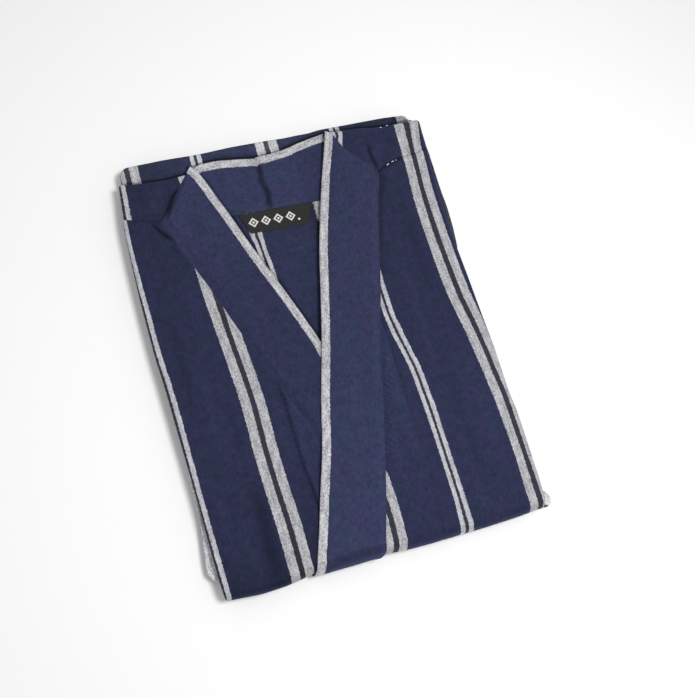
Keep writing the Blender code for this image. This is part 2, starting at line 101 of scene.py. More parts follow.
# The side folds: where the outermost cloth turns under, at each distance along the packet.
SideFold = namedtuple("SideFold", "y left right")
SIDE_FOLDS = table(
    SideFold, (-215, -161.0, 153.6), (-180, -163.4, 154.8), (-125, -164.3, 155.2), (-94, -165.5, 153.5),
    (-62, -166.8, 153.6), (-20, -168.5, 152.2), (20, -170.2, 150.8), (60, -170.7, 149.4),
    (90, -170.5, 149.6), (135, -169.2, 150.6), (160, -167.0, 152.5), (190, -164.8, 153.2),
    (210, -164.0, 154.0),
)

# Where the cloth starts to roll over the bottom end, at each place across the packet.
BottomFold = namedtuple("BottomFold", "x y")
BOTTOM_FOLD = table(
    BottomFold, (-165, -199.2), (-145, -201.1), (-125, -203.0), (-110, -202.8), (-90, -200.4),
    (-75, -198.4), (-30, -197.2), (-5, -199.8), (12, -201.2), (45, -202.4), (90, -202.8), (125, -202.4),
    (160, -201.2),
)

# Places along a line that runs up the packet: x at each y.
At = namedtuple("At", "y x")
LEFT_FRONT_EDGE = table(
    At, (-215, -58.0), (-141, -61.8), (-112, -64.8), (-60, -65.6), (-34, -67.0), (0, -75.0), (47, -91.6),
    (92, -107.0), (150, -126.0),
)
RIGHT_FRONT_EDGE = table(
    At, (-215, 43.0), (-176, 46.9), (-143, 49.0), (-84, 47.3), (-33, 47.0), (5, 46.3), (42, 50.5),
    (72, 58.0), (124, 73.0), (158, 84.0),
)
LEFT_OVERLAP_EDGE = table(At, (-215, -42.0), (-93, -40.0), (-66, -46.0), (-33, -58.0))
RIGHT_OVERLAP_EDGE = table(
    At, (-215, -25.0), (-180, -14.0), (-118, 2.6), (-73, 15.7), (-26, 28.0), (6, 38.2),
)

# Shoulder seams, and the folds above them where the back comes over.
ShoulderLine = namedtuple("ShoulderLine", "x seam fold")
LEFT_SHOULDER_LINE = table(
    ShoulderLine, (-165, 152.4, 188.9), (-140, 146.5, 187.2), (-125, 143.5, 187.0), (-99, 143.0, 188.7),
)
RIGHT_SHOULDER_LINE = table(
    ShoulderLine, (50, 154.0, 208.9), (86, 155.0, 208.2), (100, 161.0, 206.6), (114, 166.2, 206.0),
    (127, 168.2, 206.4), (140, 170.2, 207.4), (153, 174.5, 207.6),
)

# Known threads and the lines that they follow over a piece, from left to right.
Thread = namedtuple("Thread", "place run")
LEFT_FRONT_THREADS = (
    thread(
        -65.5, (-200, -158.3), (-172, -159.3), (-118, -161.0), (-60, -162.3), (-16, -163.6), (23, -166.1),
        (62, -166.8), (90, -167.7), (122, -168.0), (150, -167.0),
    ),
    thread(
        -7.0, (-198, -97.9), (-162, -98.6), (-125, -100.2), (-88, -101.3), (-50, -101.0), (-11, -103.4),
        (29, -106.5), (70, -109.8), (91, -110.5), (150, -116.0),
    ),
    thread(
        7.0, (-202, -85.3), (-166, -85.2), (-129, -87.0), (-92, -88.2), (-54, -87.9), (-14, -89.9),
        (26, -93.2), (47, -94.0), (150, -102.0),
    ),
)
LEFT_SHOULDER_THREADS = (
    thread(-65.5, (155, -162.5), (183, -161.0)),
    thread(-7.0, (155, -100.8), (184, -103.8)),
)
LEFT_OVERLAP_THREADS = (
    thread(24.0, (-200, -57.5), (-35, -65.4)),
)
RIGHT_FRONT_THREADS = (
    thread(
        -72.5, (-209, 63.6), (-172, 65.5), (-133, 65.3), (-93, 64.3), (-72, 63.4), (-52, 62.2), (-30, 58.6),
        (-9, 54.4), (12, 52.6), (32, 52.2), (150, 55.0),
    ),
    thread(
        -65.5, (-207, 72.6), (-173, 72.4), (-134, 71.7), (-95, 71.3), (-74, 70.3), (-53, 69.0), (-32, 65.3),
        (-11, 61.8), (11, 58.9), (32, 58.9), (150, 62.0),
    ),
    thread(
        -11.3, (-192, 135.9), (-152, 136.6), (-112, 135.5), (-70, 132.3), (-27, 127.7), (18, 121.5),
        (62, 119.5), (106, 118.9), (165, 122.2),
    ),
    thread(
        -7.0, (-192, 139.8), (-152, 140.6), (-112, 139.8), (-91, 138.9), (-70, 137.1), (-49, 135.5),
        (-27, 132.5), (-5, 129.0), (18, 126.3), (62, 124.3), (84, 123.3), (106, 123.5), (129, 124.9),
        (165, 127.0),
    ),
    thread(
        2.7, (-195, 150.0), (-155, 149.6), (-114, 149.6), (-93, 148.8), (-72, 146.7), (-51, 145.0),
        (-29, 142.7), (-7, 140.0), (15, 136.9), (59, 134.7), (82, 134.0), (104, 133.9), (127, 134.1),
        (150, 135.6), (165, 136.8),
    ),
)
RIGHT_SHOULDER_THREADS = (
    thread(-72.5, (160, 50.5), (188, 52.0), (203, 56.0)),
    thread(-65.5, (160, 57.5), (188, 59.0), (203, 63.4)),
    thread(-7.0, (165, 127.0), (174, 127.6), (204, 128.2)),
    thread(2.7, (161, 136.2), (171, 136.6), (203, 141.0)),
    thread(11.3, (161, 144.5), (171, 144.8), (203, 150.5)),
)
RIGHT_OVERLAP_THREADS = (
    thread(-7.0, (-210, -10.6), (-199, -8.7), (-190, -8.0), (-178, -7.5), (-140, -9.3)),
    thread(
        7.0, (-211, 3.6), (-203, 4.8), (-194, 5.4), (-184, 5.8), (-170, 5.8), (-156, 5.3), (-141, 4.2),
        (-128, 0.0), (-60, -12.0),
    ),
    thread(52.0, (-215, 42.0), (-140, 49.0), (-60, 49.0), (0, 47.5)),
)
BACK_THREADS = {
    "left": (
        thread(65.5, (-22, -48.0), (102, -49.9), (116, -52.2), (139, -53.0)),
        thread(72.5, (-22, -40.5), (82, -42.8), (98, -44.3), (115, -44.6), (139, -45.0)),
    ),
    "right": (
        thread(90.0, (-22, -28.6), (139, -28.6)),
        thread(131.0, (-22, 38.0), (70, 34.0), (100, 32.0), (121, 21.2), (139, 21.6)),
    ),
}
CORE_THREADS = (
    thread(-11.3, (-215, -160.0), (215, -160.0)),
    thread(-2.7, (-215, -156.4), (215, -156.4)),
    thread(7.0, (-215, -147.0), (215, -147.0)),
    thread(65.5, (-215, -89.5), (215, -89.5)),
    thread(72.5, (-215, -82.5), (215, -82.5)),
    thread(131.0, (-215, -19.6), (215, -19.6)),
    thread(145.0, (-215, -6.4), (215, -6.4)),
    thread(203.5, (-215, 58.7), (215, 58.7)),
    thread(210.5, (-215, 64.5), (215, 64.5)),
    thread(265.0, (-215, 140.0), (190, 140.0), (208, 132.2), (215, 132.2)),
    thread(273.0, (-215, 150.8), (190, 150.8), (208, 146.6), (215, 146.6)),
    thread(283.0, (-215, 159.2), (182, 159.2), (203, 153.0), (215, 153.0)),
)
COLLAR_FOLD_THREAD = 2.5  # the collars are folded beside a wide stripe, so it runs along their edge

# Painted light and shade at each distance along the fronts and shoulders: the left half darker, most at its
# bottom end, where less light falls on it.
LEFT_PAINTED_LIGHT = table(At, (-205, -0.32), (-165, -0.16), (-60, -0.06), (60, -0.12), (160, -0.16))
RIGHT_PAINTED_LIGHT = table(At, (-205, -0.02), (-100, 0.0), (0, -0.10), (160, -0.10))
# Change of tone at each distance along the overlaps and collars, lighter or darker in places.
OVERLAP_TONES = table(At, (-215, -0.02), (-150, 0.02), (-100, 0.14), (0, 0.20))
COLLAR_TONES = {
    "left": table(At, (-100, -0.06), (-10, -0.14), (60, -0.12), (120, 0.04), (180, 0.12)),
    "right": table(At, (-220, 0.08), (-190, 0.15), (-120, 0.12), (-40, 0.03), (200, 0.0)),
}
# Painted shade in creases, seams and gathers, and painted light on ridges.
CREASE_SHADE = 0.16  # change of tone for each millimetre of a crease's height
PUCKER_SHADE = 0.42  # the same for seams and gathers, which are steeper

# What differs between the robe's halves. `overlap_reach` is the share of a front that its overlap runs up.
# The two strengths say how much the seams at the shoulder and the overlap stand out.
Half = namedtuple(
    "Half",
    "outward top edge_radius middle front_edge shoulder_line neck_seam_x neck_fold_x overlap_edge"
    " overlap_reach shoulder_strength overlap_strength tones front_threads shoulder_threads overlap_threads",
)
HALVES = {
    "left": Half(
        -1, 21.0, 2.6, -100.0, LEFT_FRONT_EDGE, LEFT_SHOULDER_LINE, -124.0, -96.0, LEFT_OVERLAP_EDGE, 0.49,
        0.12, 1.3, LEFT_PAINTED_LIGHT, LEFT_FRONT_THREADS, LEFT_SHOULDER_THREADS, LEFT_OVERLAP_THREADS,
    ),
    "right": Half(
        1, 24.0, 4.1, 100.0, RIGHT_FRONT_EDGE, RIGHT_SHOULDER_LINE, 84.0, 48.0, RIGHT_OVERLAP_EDGE, 0.58,
        0.6, 0.25, RIGHT_PAINTED_LIGHT, RIGHT_FRONT_THREADS, RIGHT_SHOULDER_THREADS, RIGHT_OVERLAP_THREADS,
    ),
}
FRONT_ENDS = (-215.0, 150.0)  # how far up the packet a front's two ends come
ROLL_SHARE = 0.055  # share of a front's rows that goes round the bottom roll
FOLD_SHARE = 0.11  # share of a front's columns that goes round its side fold

# Collar bands: a line for each section across the band, at a row of its grid, from the lower end to the neck.
# The outer edge is sewn to the front, the inner edge is folded, and sags by `drop`.
BandSection = namedtuple("BandSection", "row outer_x outer_y inner_x inner_y drop")
LEFT_COLLAR = table(
    BandSection, (0, -45.0, -104.0, -9.0, -98.0, 0.0), (2, -48.8, -81.5, -13.0, -66.0, 0.0),
    (4, -60.6, -52.1, -11.4, -34.5, 0.0), (7, -73.6, -17.4, -16.4, -8.5, 0.0),
    (10, -89.6, 23.0, -33.3, 42.0, 0.5), (13, -106.2, 69.8, -51.6, 90.0, 1.0),
    (15, -115.0, 92.0, -59.8, 112.5, 1.3), (17, -126.4, 123.0, -70.1, 142.0, 1.5),
    (19, -133.1, 142.9, -77.0, 160.0, 1.7), (21, -124.3, 155.7, -81.5, 172.0, 1.2),
    (23, -110.7, 175.3, -87.8, 186.5, 0.4), (24, -100.0, 188.5, -94.0, 195.0, 0.1),
)
RIGHT_COLLAR = table(
    BandSection, (0, -15.0, -228.0, -82.5, -219.5, 3.0), (9, -11.4, -199.5, -76.5, -197.0, 3.0),
    (12, -4.6, -177.0, -68.0, -172.0, 2.8), (15, 1.9, -156.0, -58.0, -141.0, 2.0),
    (19, 12.0, -120.5, -45.8, -103.6, 0.0), (23, 24.2, -76.0, -33.8, -58.7, 0.0),
    (28, 39.5, -16.0, -17.2, -3.2, 0.0), (32, 55.5, 34.0, -4.3, 45.1, 0.8),
    (35, 66.5, 74.0, 6.2, 84.9, 1.7), (39, 80.9, 124.3, 22.4, 135.7, 2.4),
    (41, 90.4, 154.0, 29.5, 156.5, 2.8), (43, 76.0, 173.0, 36.5, 176.0, 2.2),
    (45, 62.0, 189.0, 42.5, 193.0, 0.8), (46, 55.5, 203.5, 47.3, 208.0, 0.1),
)
Collar = namedtuple("Collar", "sections top slope cells_across cells_along flat area")
COLLARS = {
    "left": Collar(LEFT_COLLAR, 24.1, 9.0, 60, 240, (0.068, 0.300), 0.0180),
    "right": Collar(RIGHT_COLLAR, 27.2, 6.5, 66, 340, (0.070, 0.452), 0.0270),
}
OUTER_EDGES = {side: tuple(At(s.outer_y, s.outer_x) for s in data.sections) for side, data in COLLARS.items()}
LEFT_FOLD = tuple(At(s.inner_y, s.inner_x) for s in LEFT_COLLAR)  # the left collar's folded edge
BAND_EDGE_RADIUS = 1.25  # round of the band's folded edge
BAND_FOOT = 0.35  # height of the band's sewn edge, from which it rises in a soft slope
FOOT_RADIUS = 0.3
BAND_TUCK = 5.0  # how far the cloth shows under the band's folded edge
COLLAR_THINNESS = 0.7  # the collar's cloth, as a share of the rest
BACK_BAND = 66.0  # cloth of the band behind the neck, from its seam to the tucked end

# Top edge of the back collar, across the neck.
NeckEdge = namedtuple("NeckEdge", "x y")
NECK_EDGE = table(
    NeckEdge, (-90, 196.0), (-83.6, 198.4), (-68.5, 199.3), (-48.6, 198.0), (-28.6, 196.2), (-2, 199.0),
    (21, 205.0), (50, 211.0),
)

# Sides of the back and the back collar, hidden under the collars in front.
BackSide = namedtuple("BackSide", "y left right")
BACK_SIDES = table(
    BackSide, (-22, -36.0, -10.0), (10, -43.0, 0.0), (33, -50.0, 7.0), (85, -68.0, 20.0),
    (139, -92.0, 36.0), (210, -90.0, 50.0),
)

# Upper edge of the packet, where the lower layers show behind the shoulders.
TopEdge = namedtuple("TopEdge", "x y")
TOP_EDGE = table(
    TopEdge, (-162, 207.6), (-140, 209.5), (-90, 210.6), (-52, 212.6), (14, 214.2), (30, 214.9),
    (46, 217.0), (77, 217.8), (115, 219.0), (134, 218.8), (142, 218.2), (147, 212.6), (157, 209.6),
)

# Painted light and shade along the top edge, as change from the plain tone at each place across the packet:
# lighter on most of it, darker in the shade of the right shoulder.
TOP_PAINTED_LIGHT = table(
    At, (-165, 0.25), (-120, 0.35), (-90, 0.6), (40, 0.8), (60, 0.15), (124, 0.1), (132, -0.55),
    (150, -0.55),
)

# The core's folded layers, bottom to top: how far each lies in from the outline on its four sides,
# how many plies its edge shows, and the threads at its left and right edges.
Layer = namedtuple("Layer", "low high left right top bottom_left bottom_right plies left_thread right_thread")
LAYERS = table(
    Layer, (0.0, 4.0, 7.0, 5.0, 3.0, 4.5, 7.5, 2, 20.0, 326.0),
    (4.0, 7.7, 5.5, 4.0, 1.5, 4.5, 7.5, 2, -35.0, 284.0),
    (7.7, 12.0, 4.6, 4.5, 2.5, 2.2, 2.2, 2, -7.0, 284.0),
    (12.0, CORE_TOP, 3.4, 3.4, 0.0, 2.2, 2.2, 1, -13.0, 300.0),
)

TOP_LAYER = len(LAYERS) - 1

# Layers that slip out of the stack: how far, along one side of the layer.
Slip = namedtuple("Slip", "place out")
SLIPPED_PAINTED_LIGHT = 1.2  # painted light on the slipped layers' edges, which the lamp leaves in shade
SLIPS = {
    (2, "left"): table(
        Slip, (-198, 0.0), (-191, 8.0), (-184, 11.6), (-168, 10.2), (-142, 6.8), (-97, 5.0), (-60, 0.0),
    ),
    (3, "right"): table(
        Slip, (36, 0.0), (52, 4.0), (71, 7.8), (105, 9.6), (140, 8.2), (175, 6.8), (200, 5.4), (215, 3.0),
    ),
    (1, "right"): table(
        Slip, (-216, 11.0), (-207, 17.0), (-198, 16.5), (-190, 12.0), (-180, 4.0), (-172, 0.0),
    ),
    (1, "bottom"): table(Slip, (132, 0.0), (146, 3.6), (160, 4.6)),
    (0, "right"): table(Slip, (-60, 0.0), (40, 2.6), (150, 0.0)),
    (2, "top"): table(Slip, (-120, 0.0), (10, 1.8), (130, 0.0)),
}

# Where the core's top rises from the height of the left half to that of the right half.
Rise = namedtuple("Rise", "y start end")
RISE = table(
    Rise, (-215, -39.0, -27.0), (-146, -36.0, -12.0), (-115, -20.0, 0.0), (-98, -4.0, 6.0),
    (-60, -8.0, 12.0), (-20, -8.0, 20.0), (42, 12.0, 40.0), (124, 44.0, 68.0), (200, 60.0, 78.0),
)

# Distances over which the core's top rises beside each edge and beside the neck opening.
Slope = namedtuple("Slope", "start end")
LEFT_SLOPE = Slope(8.0, 16.0)
RIGHT_SLOPE = Slope(12.0, 21.0)
SHOULDER_SLOPE = Slope(7.0, 16.0)
BOTTOM_SLOPE = Slope(0.0, 10.0)
NECK_SLOPE = Slope(15.0, 29.0)
PLAIN = namedtuple("Plain", "left right bottom top")(-165.0, 155.0, -205.0, 213.0)
REACH_CHANGE = Slope(-60.0, 20.0)

# Creases and soft ridges: their two ends, the height in the middle and the half width.
Crease = namedtuple("Crease", "x0 y0 x1 y1 height width")
CREASES = {
    "left_front": table(
        Crease, (-114, -110, -112, -212, -1.1, 7.0), (-134, -140, -128, -208, 0.6, 7.0),
        (-150, 60, -146, -70, -0.6, 5.0), (-126, 96, -122, 10, 0.5, 6.0), (-136, 10, -132, -96, 0.5, 4.0),
        (-118, -30, -116, -92, -0.5, 3.0), (-76, -28, -74, -120, 0.5, 4.0),
        (-146, 147, -125, 121, -1.7, 1.7), (-136, 138, -128, 129, 0.8, 1.6),
        (-150, -100, -146, -190, 0.4, 5.0),
    ),
    "right_front": table(
        Crease, (84, 60, 87, -60, 0.5, 6.0), (104, 120, 108, 10, -0.6, 6.0),
        (96, -40, 100, -180, -0.5, 5.0), (118, -30, 124, -150, 0.5, 6.0), (58, -60, 60, -170, -0.4, 3.0),
        (92, 150, 94, 100, -0.5, 3.0), (96, 158, 122, 168, -1.0, 1.3), (82, -178, 112, -204, 0.5, 6.0),
    ),
    "left_shoulder": table(
        Crease, (-150, 186, -146, 158, -0.5, 3.5), (-128, 182, -140, 152, 0.5, 5.0),
        (-160, 170, -134, 162, 0.3, 3.0), (-109, 179, -135, 141, -2.1, 2.2),
    ),
    "right_shoulder": table(
        Crease, (98, 204, 97, 168, 0.4, 5.0), (88.5, 194, 91, 152, -1.5, 2.0),
        (96, 160, 122, 170, -1.0, 1.3), (112, 200, 117, 172, -0.5, 4.0), (80, 192, 85, 160, 0.6, 3.0),
        (107.4, 160, 107.8, 168, -0.6, 1.0),
    ),
    "left_overlap": table(Crease, (-56, -60, -52, -150, -0.3, 3.0), (-61, -110, -56, -190, 0.3, 3.0)),
    "right_overlap": table(
        Crease, (30, -60, 34, -150, -0.45, 3.0), (20, -110, 24, -196, 0.35, 4.0),
        (38, -30, 42, -90, 0.3, 3.0), (24, -84, 33, -70, -0.4, 1.4), (20, -104, 30, -92, -0.35, 1.4),
        (28, -122, 38, -118, 0.35, 1.6),
    ),
    "left_collar": table(
        Crease, (-107, 180, -132, 143, -1.9, 2.1), (-127, 147, -116, 130, 0.5, 3.0),
        (-110, 150, -96, 110, -0.35, 6.0), (-84, 70, -62, 20, 0.3, 6.0), (-66, 60, -50, 10, -0.25, 4.0),
        (-72, -2, -52, -50, 0.3, 4.0), (-96, 100, -84, 60, 0.25, 4.0),
    ),
    "right_collar": table(
        Crease, (89, 166, 86, 146, -0.9, 2.4), (82, 156, 70, 150, 0.6, 5.0), (66, 150, 56, 110, 0.3, 6.0),
        (30, 60, 14, 0, -0.3, 6.0), (8, -20, -8, -90, 0.35, 7.0), (-22, -90, -34, -150, -0.3, 5.0),
        (-30, -176, -50, -200, 0.4, 6.0), (62, 104, 50, 60, -0.25, 4.0),
    ),
    "back_collar": table(
        Crease, (-60, 186, -64, 146, -0.35, 5.0), (-8, 186, -2, 150, 0.35, 6.0),
        (14, 196, 8, 160, -0.3, 4.0),
    ),
    "back": table(
        Crease, (-34, 110, -32, 30, 0.35, 4.0), (-14, 112, -18, 40, -0.35, 5.0), (2, 120, 0, 60, 0.3, 4.0),
    ),
    "folded_layers": table(
        Crease, (-130, 208, -128, 190, -0.5, 4.0), (-60, 212, -64, 198, 0.4, 5.0),
        (152.6, 46, 155.0, 140, -1.0, 0.8), (154.6, 120, 157.0, 206, -1.0, 0.8),
        (155.0, 76, 158.4, 200, -0.7, 0.7),
    ),
}

# The centre back seam's crease wanders a little on its way down to the label.
SEAM_WANDER = table(At, (139, 1.0), (143, 1.2), (157, 2.4), (171, -0.3), (181, 1.0), (192, 0.4), (200, 0.0))

# Small folds that a seam draws up across itself: how far they reach, how high they are, and their spacing.
GATHER_REACH = 7.0
GATHER_HEIGHT = 0.42
GATHER_PITCH = 5.2
SEAM_GROOVE = 0.8
SEAM_WIDTH = 1.8

# The cloth's own unevenness, from broad soft waves to the small puckers that its weave draws up: height,
# size, how much longer than wide, and the seed of each.
Wave = namedtuple("Wave", "height size squeeze seed")
WAVES = table(Wave, (0.34, 58.0, 1.0, 1), (0.2, 23.0, 1.0, 2), (0.12, 9.0, 0.6, 3), (0.06, 4.5, 0.7, 4))
LATTICE = 64  # bumps after which an uneven height comes again

# Stitches: a line of them between two places on a piece's outer face.
StitchLine = namedtuple("StitchLine", "x0 y0 x1 y1 z radius")
SHOULDER_STITCHES = table(
    StitchLine, (101.4, 161.0, 104.8, 162.7, 24.3, 0.6), (107.6, 163.9, 110.8, 164.6, 24.3, 0.55),
    (112.6, 165.0, 114.2, 165.2, 24.3, 0.4), (107.3, 204.2, 109.6, 203.8, 23.9, 0.45),
    (114.4, 205.3, 116.8, 205.0, 23.9, 0.45),
)

# The studio, in metres and degrees.
FLOOR_SIZE = 6.0
LIGHT_PLACE = (0.23, -0.15, 1.15)
LIGHT_SIZE = 0.36
CAMERA_PLACE = (-0.20674, -0.16922, 0.75236)
CAMERA_TURN = (15.3305, -12.6453, -16.6344)
CAMERA_LENS = 41.88
SENSOR = 36.0


# ---------------------------------------------------------------- curves and surfaces


def read(table, key, column):
    """Values of a table's column at the keys: a cubic through the rows that never overshoots them."""
    keys = np.array([row[0] for row in table], float)
    values = np.array([getattr(row, column) for row in table], float)
    key = np.clip(key, keys[0], keys[-1])
    first = np.clip(np.searchsorted(keys, key, side="right") - 1, 0, len(keys) - 2)
    rises = np.diff(values) / np.diff(keys)
    before = np.concatenate((rises[:1], rises))
    after = np.concatenate((rises, rises[-1:]))
    agree = before * after > 0
    slopes = np.where(agree, 2 * before * after / np.where(agree, before + after, 1.0), 0.0)
    step = np.diff(keys)[first]
    t = (key - keys[first]) / step
    bends = (1 - t) ** 2 * t * slopes[first] + (t - 1) * t * t * slopes[first + 1]
    return values[first] + (values[first + 1] - values[first]) * t * t * (3 - 2 * t) + bends * step


def between(start, end, share):
    return start + (end - start) * share


def eased(value, start, end):
    """0 up to start, 1 from end, with a smooth slope between."""
    share = np.clip((value - start) / (end - start), 0.0, 1.0)
    return share * share * (3 - 2 * share)


def hump(distance, width):
    """1 at no distance, falling away smoothly over the width."""
    return np.exp(-((distance / width) ** 2))


def uneven(x, y, size, seed):
    """A smooth uneven height from -1 to 1, whose bumps are about `size` apart."""
    lattice = np.random.default_rng(seed).uniform(-1, 1, (LATTICE, LATTICE))
    column = np.floor(x / size).astype(int)
    row = np.floor(y / size).astype(int)
    across = eased(x / size - column, 0, 1)
    along = eased(y / size - row, 0, 1)
    columns = (column % LATTICE, (column + 1) % LATTICE)
    lower, upper = (
        between(*(lattice[place, line % LATTICE] for place in columns), across) for line in (row, row + 1)
    )
    return between(lower, upper, along)


def threads_at(threads, x, y):
    """Which thread of the stripe pattern passes each point, read between the lines of known threads."""
    at = [read(thread.run, y, "x") for thread in threads]
    found = threads[0].place + x - at[0]
    for i in range(len(threads) - 1):
        share = (x - at[i]) / (at[i + 1] - at[i])
        found = np.where(x > at[i], between(threads[i].place, threads[i + 1].place, share), found)
    return np.where(x > at[-1], threads[-1].place + x - at[-1], found)


def laid(x, y, depth, top):
    """Points on a sheet whose outer face is `top` above the floor, rolled over the packet's bottom end."""
    start = read(BOTTOM_FOLD, x, "y")
    radius = top - ROLL_CENTRE
    angle = np.maximum(start - y, 0.0) / radius
    arm = radius - depth
    flat = y >= start
    rolled_y = np.where(flat, y, start - arm * np.sin(angle))
    rolled_z = np.where(flat, top - depth, ROLL_CENTRE + arm * np.cos(angle))
    return np.stack((x, rolled_y, rolled_z), -1)


def creased(x, y, name):
    """Height of the creases and ridges placed by hand on a piece."""
    height = np.zeros_like(x)
    for crease in CREASES[name]:
        run_x, run_y = crease.x1 - crease.x0, crease.y1 - crease.y0
        length = math.hypot(run_x, run_y)
        along = ((x - crease.x0) * run_x + (y - crease.y0) * run_y) / length
        aside = ((x - crease.x0) * run_y - (y - crease.y0) * run_x) / length
        aside = aside + 1.2 * uneven(along, along * 0, 17.0, 5)
        fade = eased(along, -0.1 * length, 0.3 * length) * (1 - eased(along, 0.65 * length, 1.1 * length))
        height += crease.height * fade * hump(aside, crease.width)
    return height


def loft(x, y):
    """Height of the cloth's own unevenness."""
    return sum(wave.height * uneven(x, y * wave.squeeze, wave.size, wave.seed) for wave in WAVES)


def past_collar(x, y, side):
    """How far a place lies outside a collar's sewn edge."""
    return (x - read(OUTER_EDGES[side], y, "x")) * HALVES[side].outward


def calm(x, y, side):
    """1 in the open, falling to a little where a collar lies on the cloth."""
    return 0.06 + 0.94 * eased(past_collar(x, y, side), -1.0, 4.0)


def lifted(clear, end):
    """Rise of the cloth to a collar's sewn edge, which is gone at `end` past it."""
    return 0.6 * eased(clear, -3.0, -0.4) * (1 - eased(clear, 0.4, end))


def by_collar(x, y, side):
    """How a front meets its collar: lifted to it on the left, in a trough with gathers on the right."""
    clear = past_collar(x, y, side)
    if side == "left":
        return lifted(clear, 5.0)
    sewn = eased(y, -190.0, -150.0) * (1 - eased(y, -20.0, 30.0)) * eased(clear, 0.0, 3.0)
    gathers = 2.6 * GATHER_HEIGHT * crosswise(clear + 0.35 * y, y, 37) * np.exp(-np.abs(clear) / 9.0)
    trough = (0.3 + 0.4 * eased(y, 20.0, 110.0)) * eased(clear, -2.0, 0.5) * (1 - eased(clear, 1.0, 8.0))
    return gathers * sewn - trough


def collar_hollow_painted_shade(x, y, side):
    """Painted shade in the soft hollow along the left collar's sewn edge."""
    return -0.13 * hump(past_collar(x, y, side) - 1.5, 3.2) if side == "left" else 0.0


def shoulder_seam_shade(from_seam, side):
    """Change of tone on the shoulder seam, which shows most across the stripes on the right."""
    return (-0.55 if side == "right" else -0.15) * hump(from_seam, 0.9)


def side_fold_shade(reach, y, side):
    """Change of tone round the right side fold, paler along its edge on the upper part."""
    if side == "left":
        return 0.0
    return 0.75 * hump(reach - 2.7, 1.2) * eased(y, 36.0, 60.0)


def crosswise(distance, along, seed):
    """Waves, from -1 to 1, of the small folds that a seam draws up across itself."""
    place = along + 4.0 * uneven(along, distance * 0.2, 17.0, seed) + 0.8 * distance
    strength = 0.55 + 0.45 * uneven(along, along * 0, 31.0, seed + 1)
    return np.sin(2 * math.pi * place / GATHER_PITCH) * strength


def gathered(distance, along, seed):
    """Small crosswise folds beside a seam, fading away from it."""
    from_seam = np.abs(distance)
    fade = np.exp(-from_seam / GATHER_REACH) * eased(from_seam, 0, 1.5)
    return GATHER_HEIGHT * crosswise(distance, along, seed) * fade


def crease_shade(folds):
    """Painted shade in the creases and painted light on the ridges, with their height: the sides of a deep
    crease shade each other.
    """
    return np.maximum(CREASE_SHADE * folds * (1 + 0.8 * np.abs(folds)), -0.75)


def roll_painted_light(x, y, top, dip):
    """Painted shade and light round the bottom roll: darker as it turns from the light, with a painted
    highlight along its edge.
    """
    angle = np.maximum(read(BOTTOM_FOLD, x, "y") - y, 0.0) / (top - ROLL_CENTRE)
    return 0.7 * eased(angle, 0.5, 1.4) - dip * hump(angle - 0.4, 0.55) * eased(angle, 0, 0.1)


def seam_relief(distance, along, seed):
    """A seam's groove, with the gathers beside it."""
    return gathered(distance, along, seed) - SEAM_GROOVE * hump(distance, SEAM_WIDTH)


# ---------------------------------------------------------------- meshes


def object_of(name, shape):
    """The shape as an object of its own, shaded smooth but for the edges marked sharp."""
    mesh = bpy.data.meshes.new(name)
    shape.to_mesh(mesh)
    shape.free()
    mesh.shade_smooth()
    made = bpy.data.objects.new(name, mesh)
    bpy.context.scene.collection.objects.link(made)
    return made


def into_place(shape):
    """Moves a shape from the tables' frame to its place, in metres."""
    for vertex in shape.verts:
        x, y, z = vertex.co
        vertex.co = ((x - BOX_CENTRE[0]) * MM, (y - BOX_CENTRE[1]) * MM, z * MM)


def cloth_sheet(name, columns, rows, place, thickness):
    """A sheet of columns by rows cells. place(u, v) gives its outer face, its threads across and along, which
    become its UV map in metres, and its painted shade and light."""
    shape = bmesh.new()
    bmesh.ops.create_grid(shape, x_segments=columns, y_segments=rows, size=0.5)
    for edge in shape.edges:
        edge.smooth = not edge.is_boundary
    made = object_of(name, shape)
    mesh = made.data
    flat = np.empty(len(mesh.vertices) * 3)
    mesh.vertices.foreach_get("co", flat)
    u, v = flat.reshape(-1, 3)[:, :2].T + 0.5
    points, across, along, shade = place(u, v)
    mesh.vertices.foreach_set("co", ((points - np.array((*BOX_CENTRE, 0.0))) * MM).ravel())
    corners = np.empty(len(mesh.loops), int)
    mesh.loops.foreach_get("vertex_index", corners)
    places = np.stack((across, along), -1)[corners] * MM
    mesh.uv_layers.new(name=UV_NAME).uv.foreach_set("vector", places.ravel())
    mesh.attributes.new("shade", "FLOAT", "POINT").data.foreach_set("value", shade)
    mesh.update()
    wall = made.modifiers.new("Cloth thickness", "SOLIDIFY")
    wall.thickness = thickness
    wall.offset = -1
    wall.use_even_offset = False
    return made


def dress(piece, node, material):
    """Gives a piece its finish, and lets it stand for its solid."""
    piece.data.materials.clear()
    piece.data.materials.append(material)
    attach(piece, "root")
    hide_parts(node)


# ---------------------------------------------------------------- the robe's pieces


def along_half(share, x, half):
    """Distance along a half at a share of its front: round the roll, then up to the shoulder seam."""
    start = read(BOTTOM_FOLD, x, "y")
    radius = half.top - ROLL_CENTRE
    turn = math.acos((ROLL_END - ROLL_CENTRE) / radius)
    seam = read(half.shoulder_line, x, "seam") - SEAM
    rolled = start - radius * turn * (1 - share / ROLL_SHARE)
    flat = between(start, seam, (share - ROLL_SHARE) / (1 - ROLL_SHARE))
    return np.where(share < ROLL_SHARE, rolled, flat)


def side_fold(share, edge, outward, radius):
    """(x, depth, cloth past the fold's start) round a folded side edge, from its tucked end at share 0."""
    reach = (1 - share) * (math.pi * radius + EDGE_TUCK)
    angle = np.minimum(reach / radius, math.pi)
    tucked = np.maximum(reach - math.pi * radius, 0.0)
    x = edge + outward * (radius * (np.sin(angle) - 1) - tucked)
    return x, radius * (1 - np.cos(angle)), reach


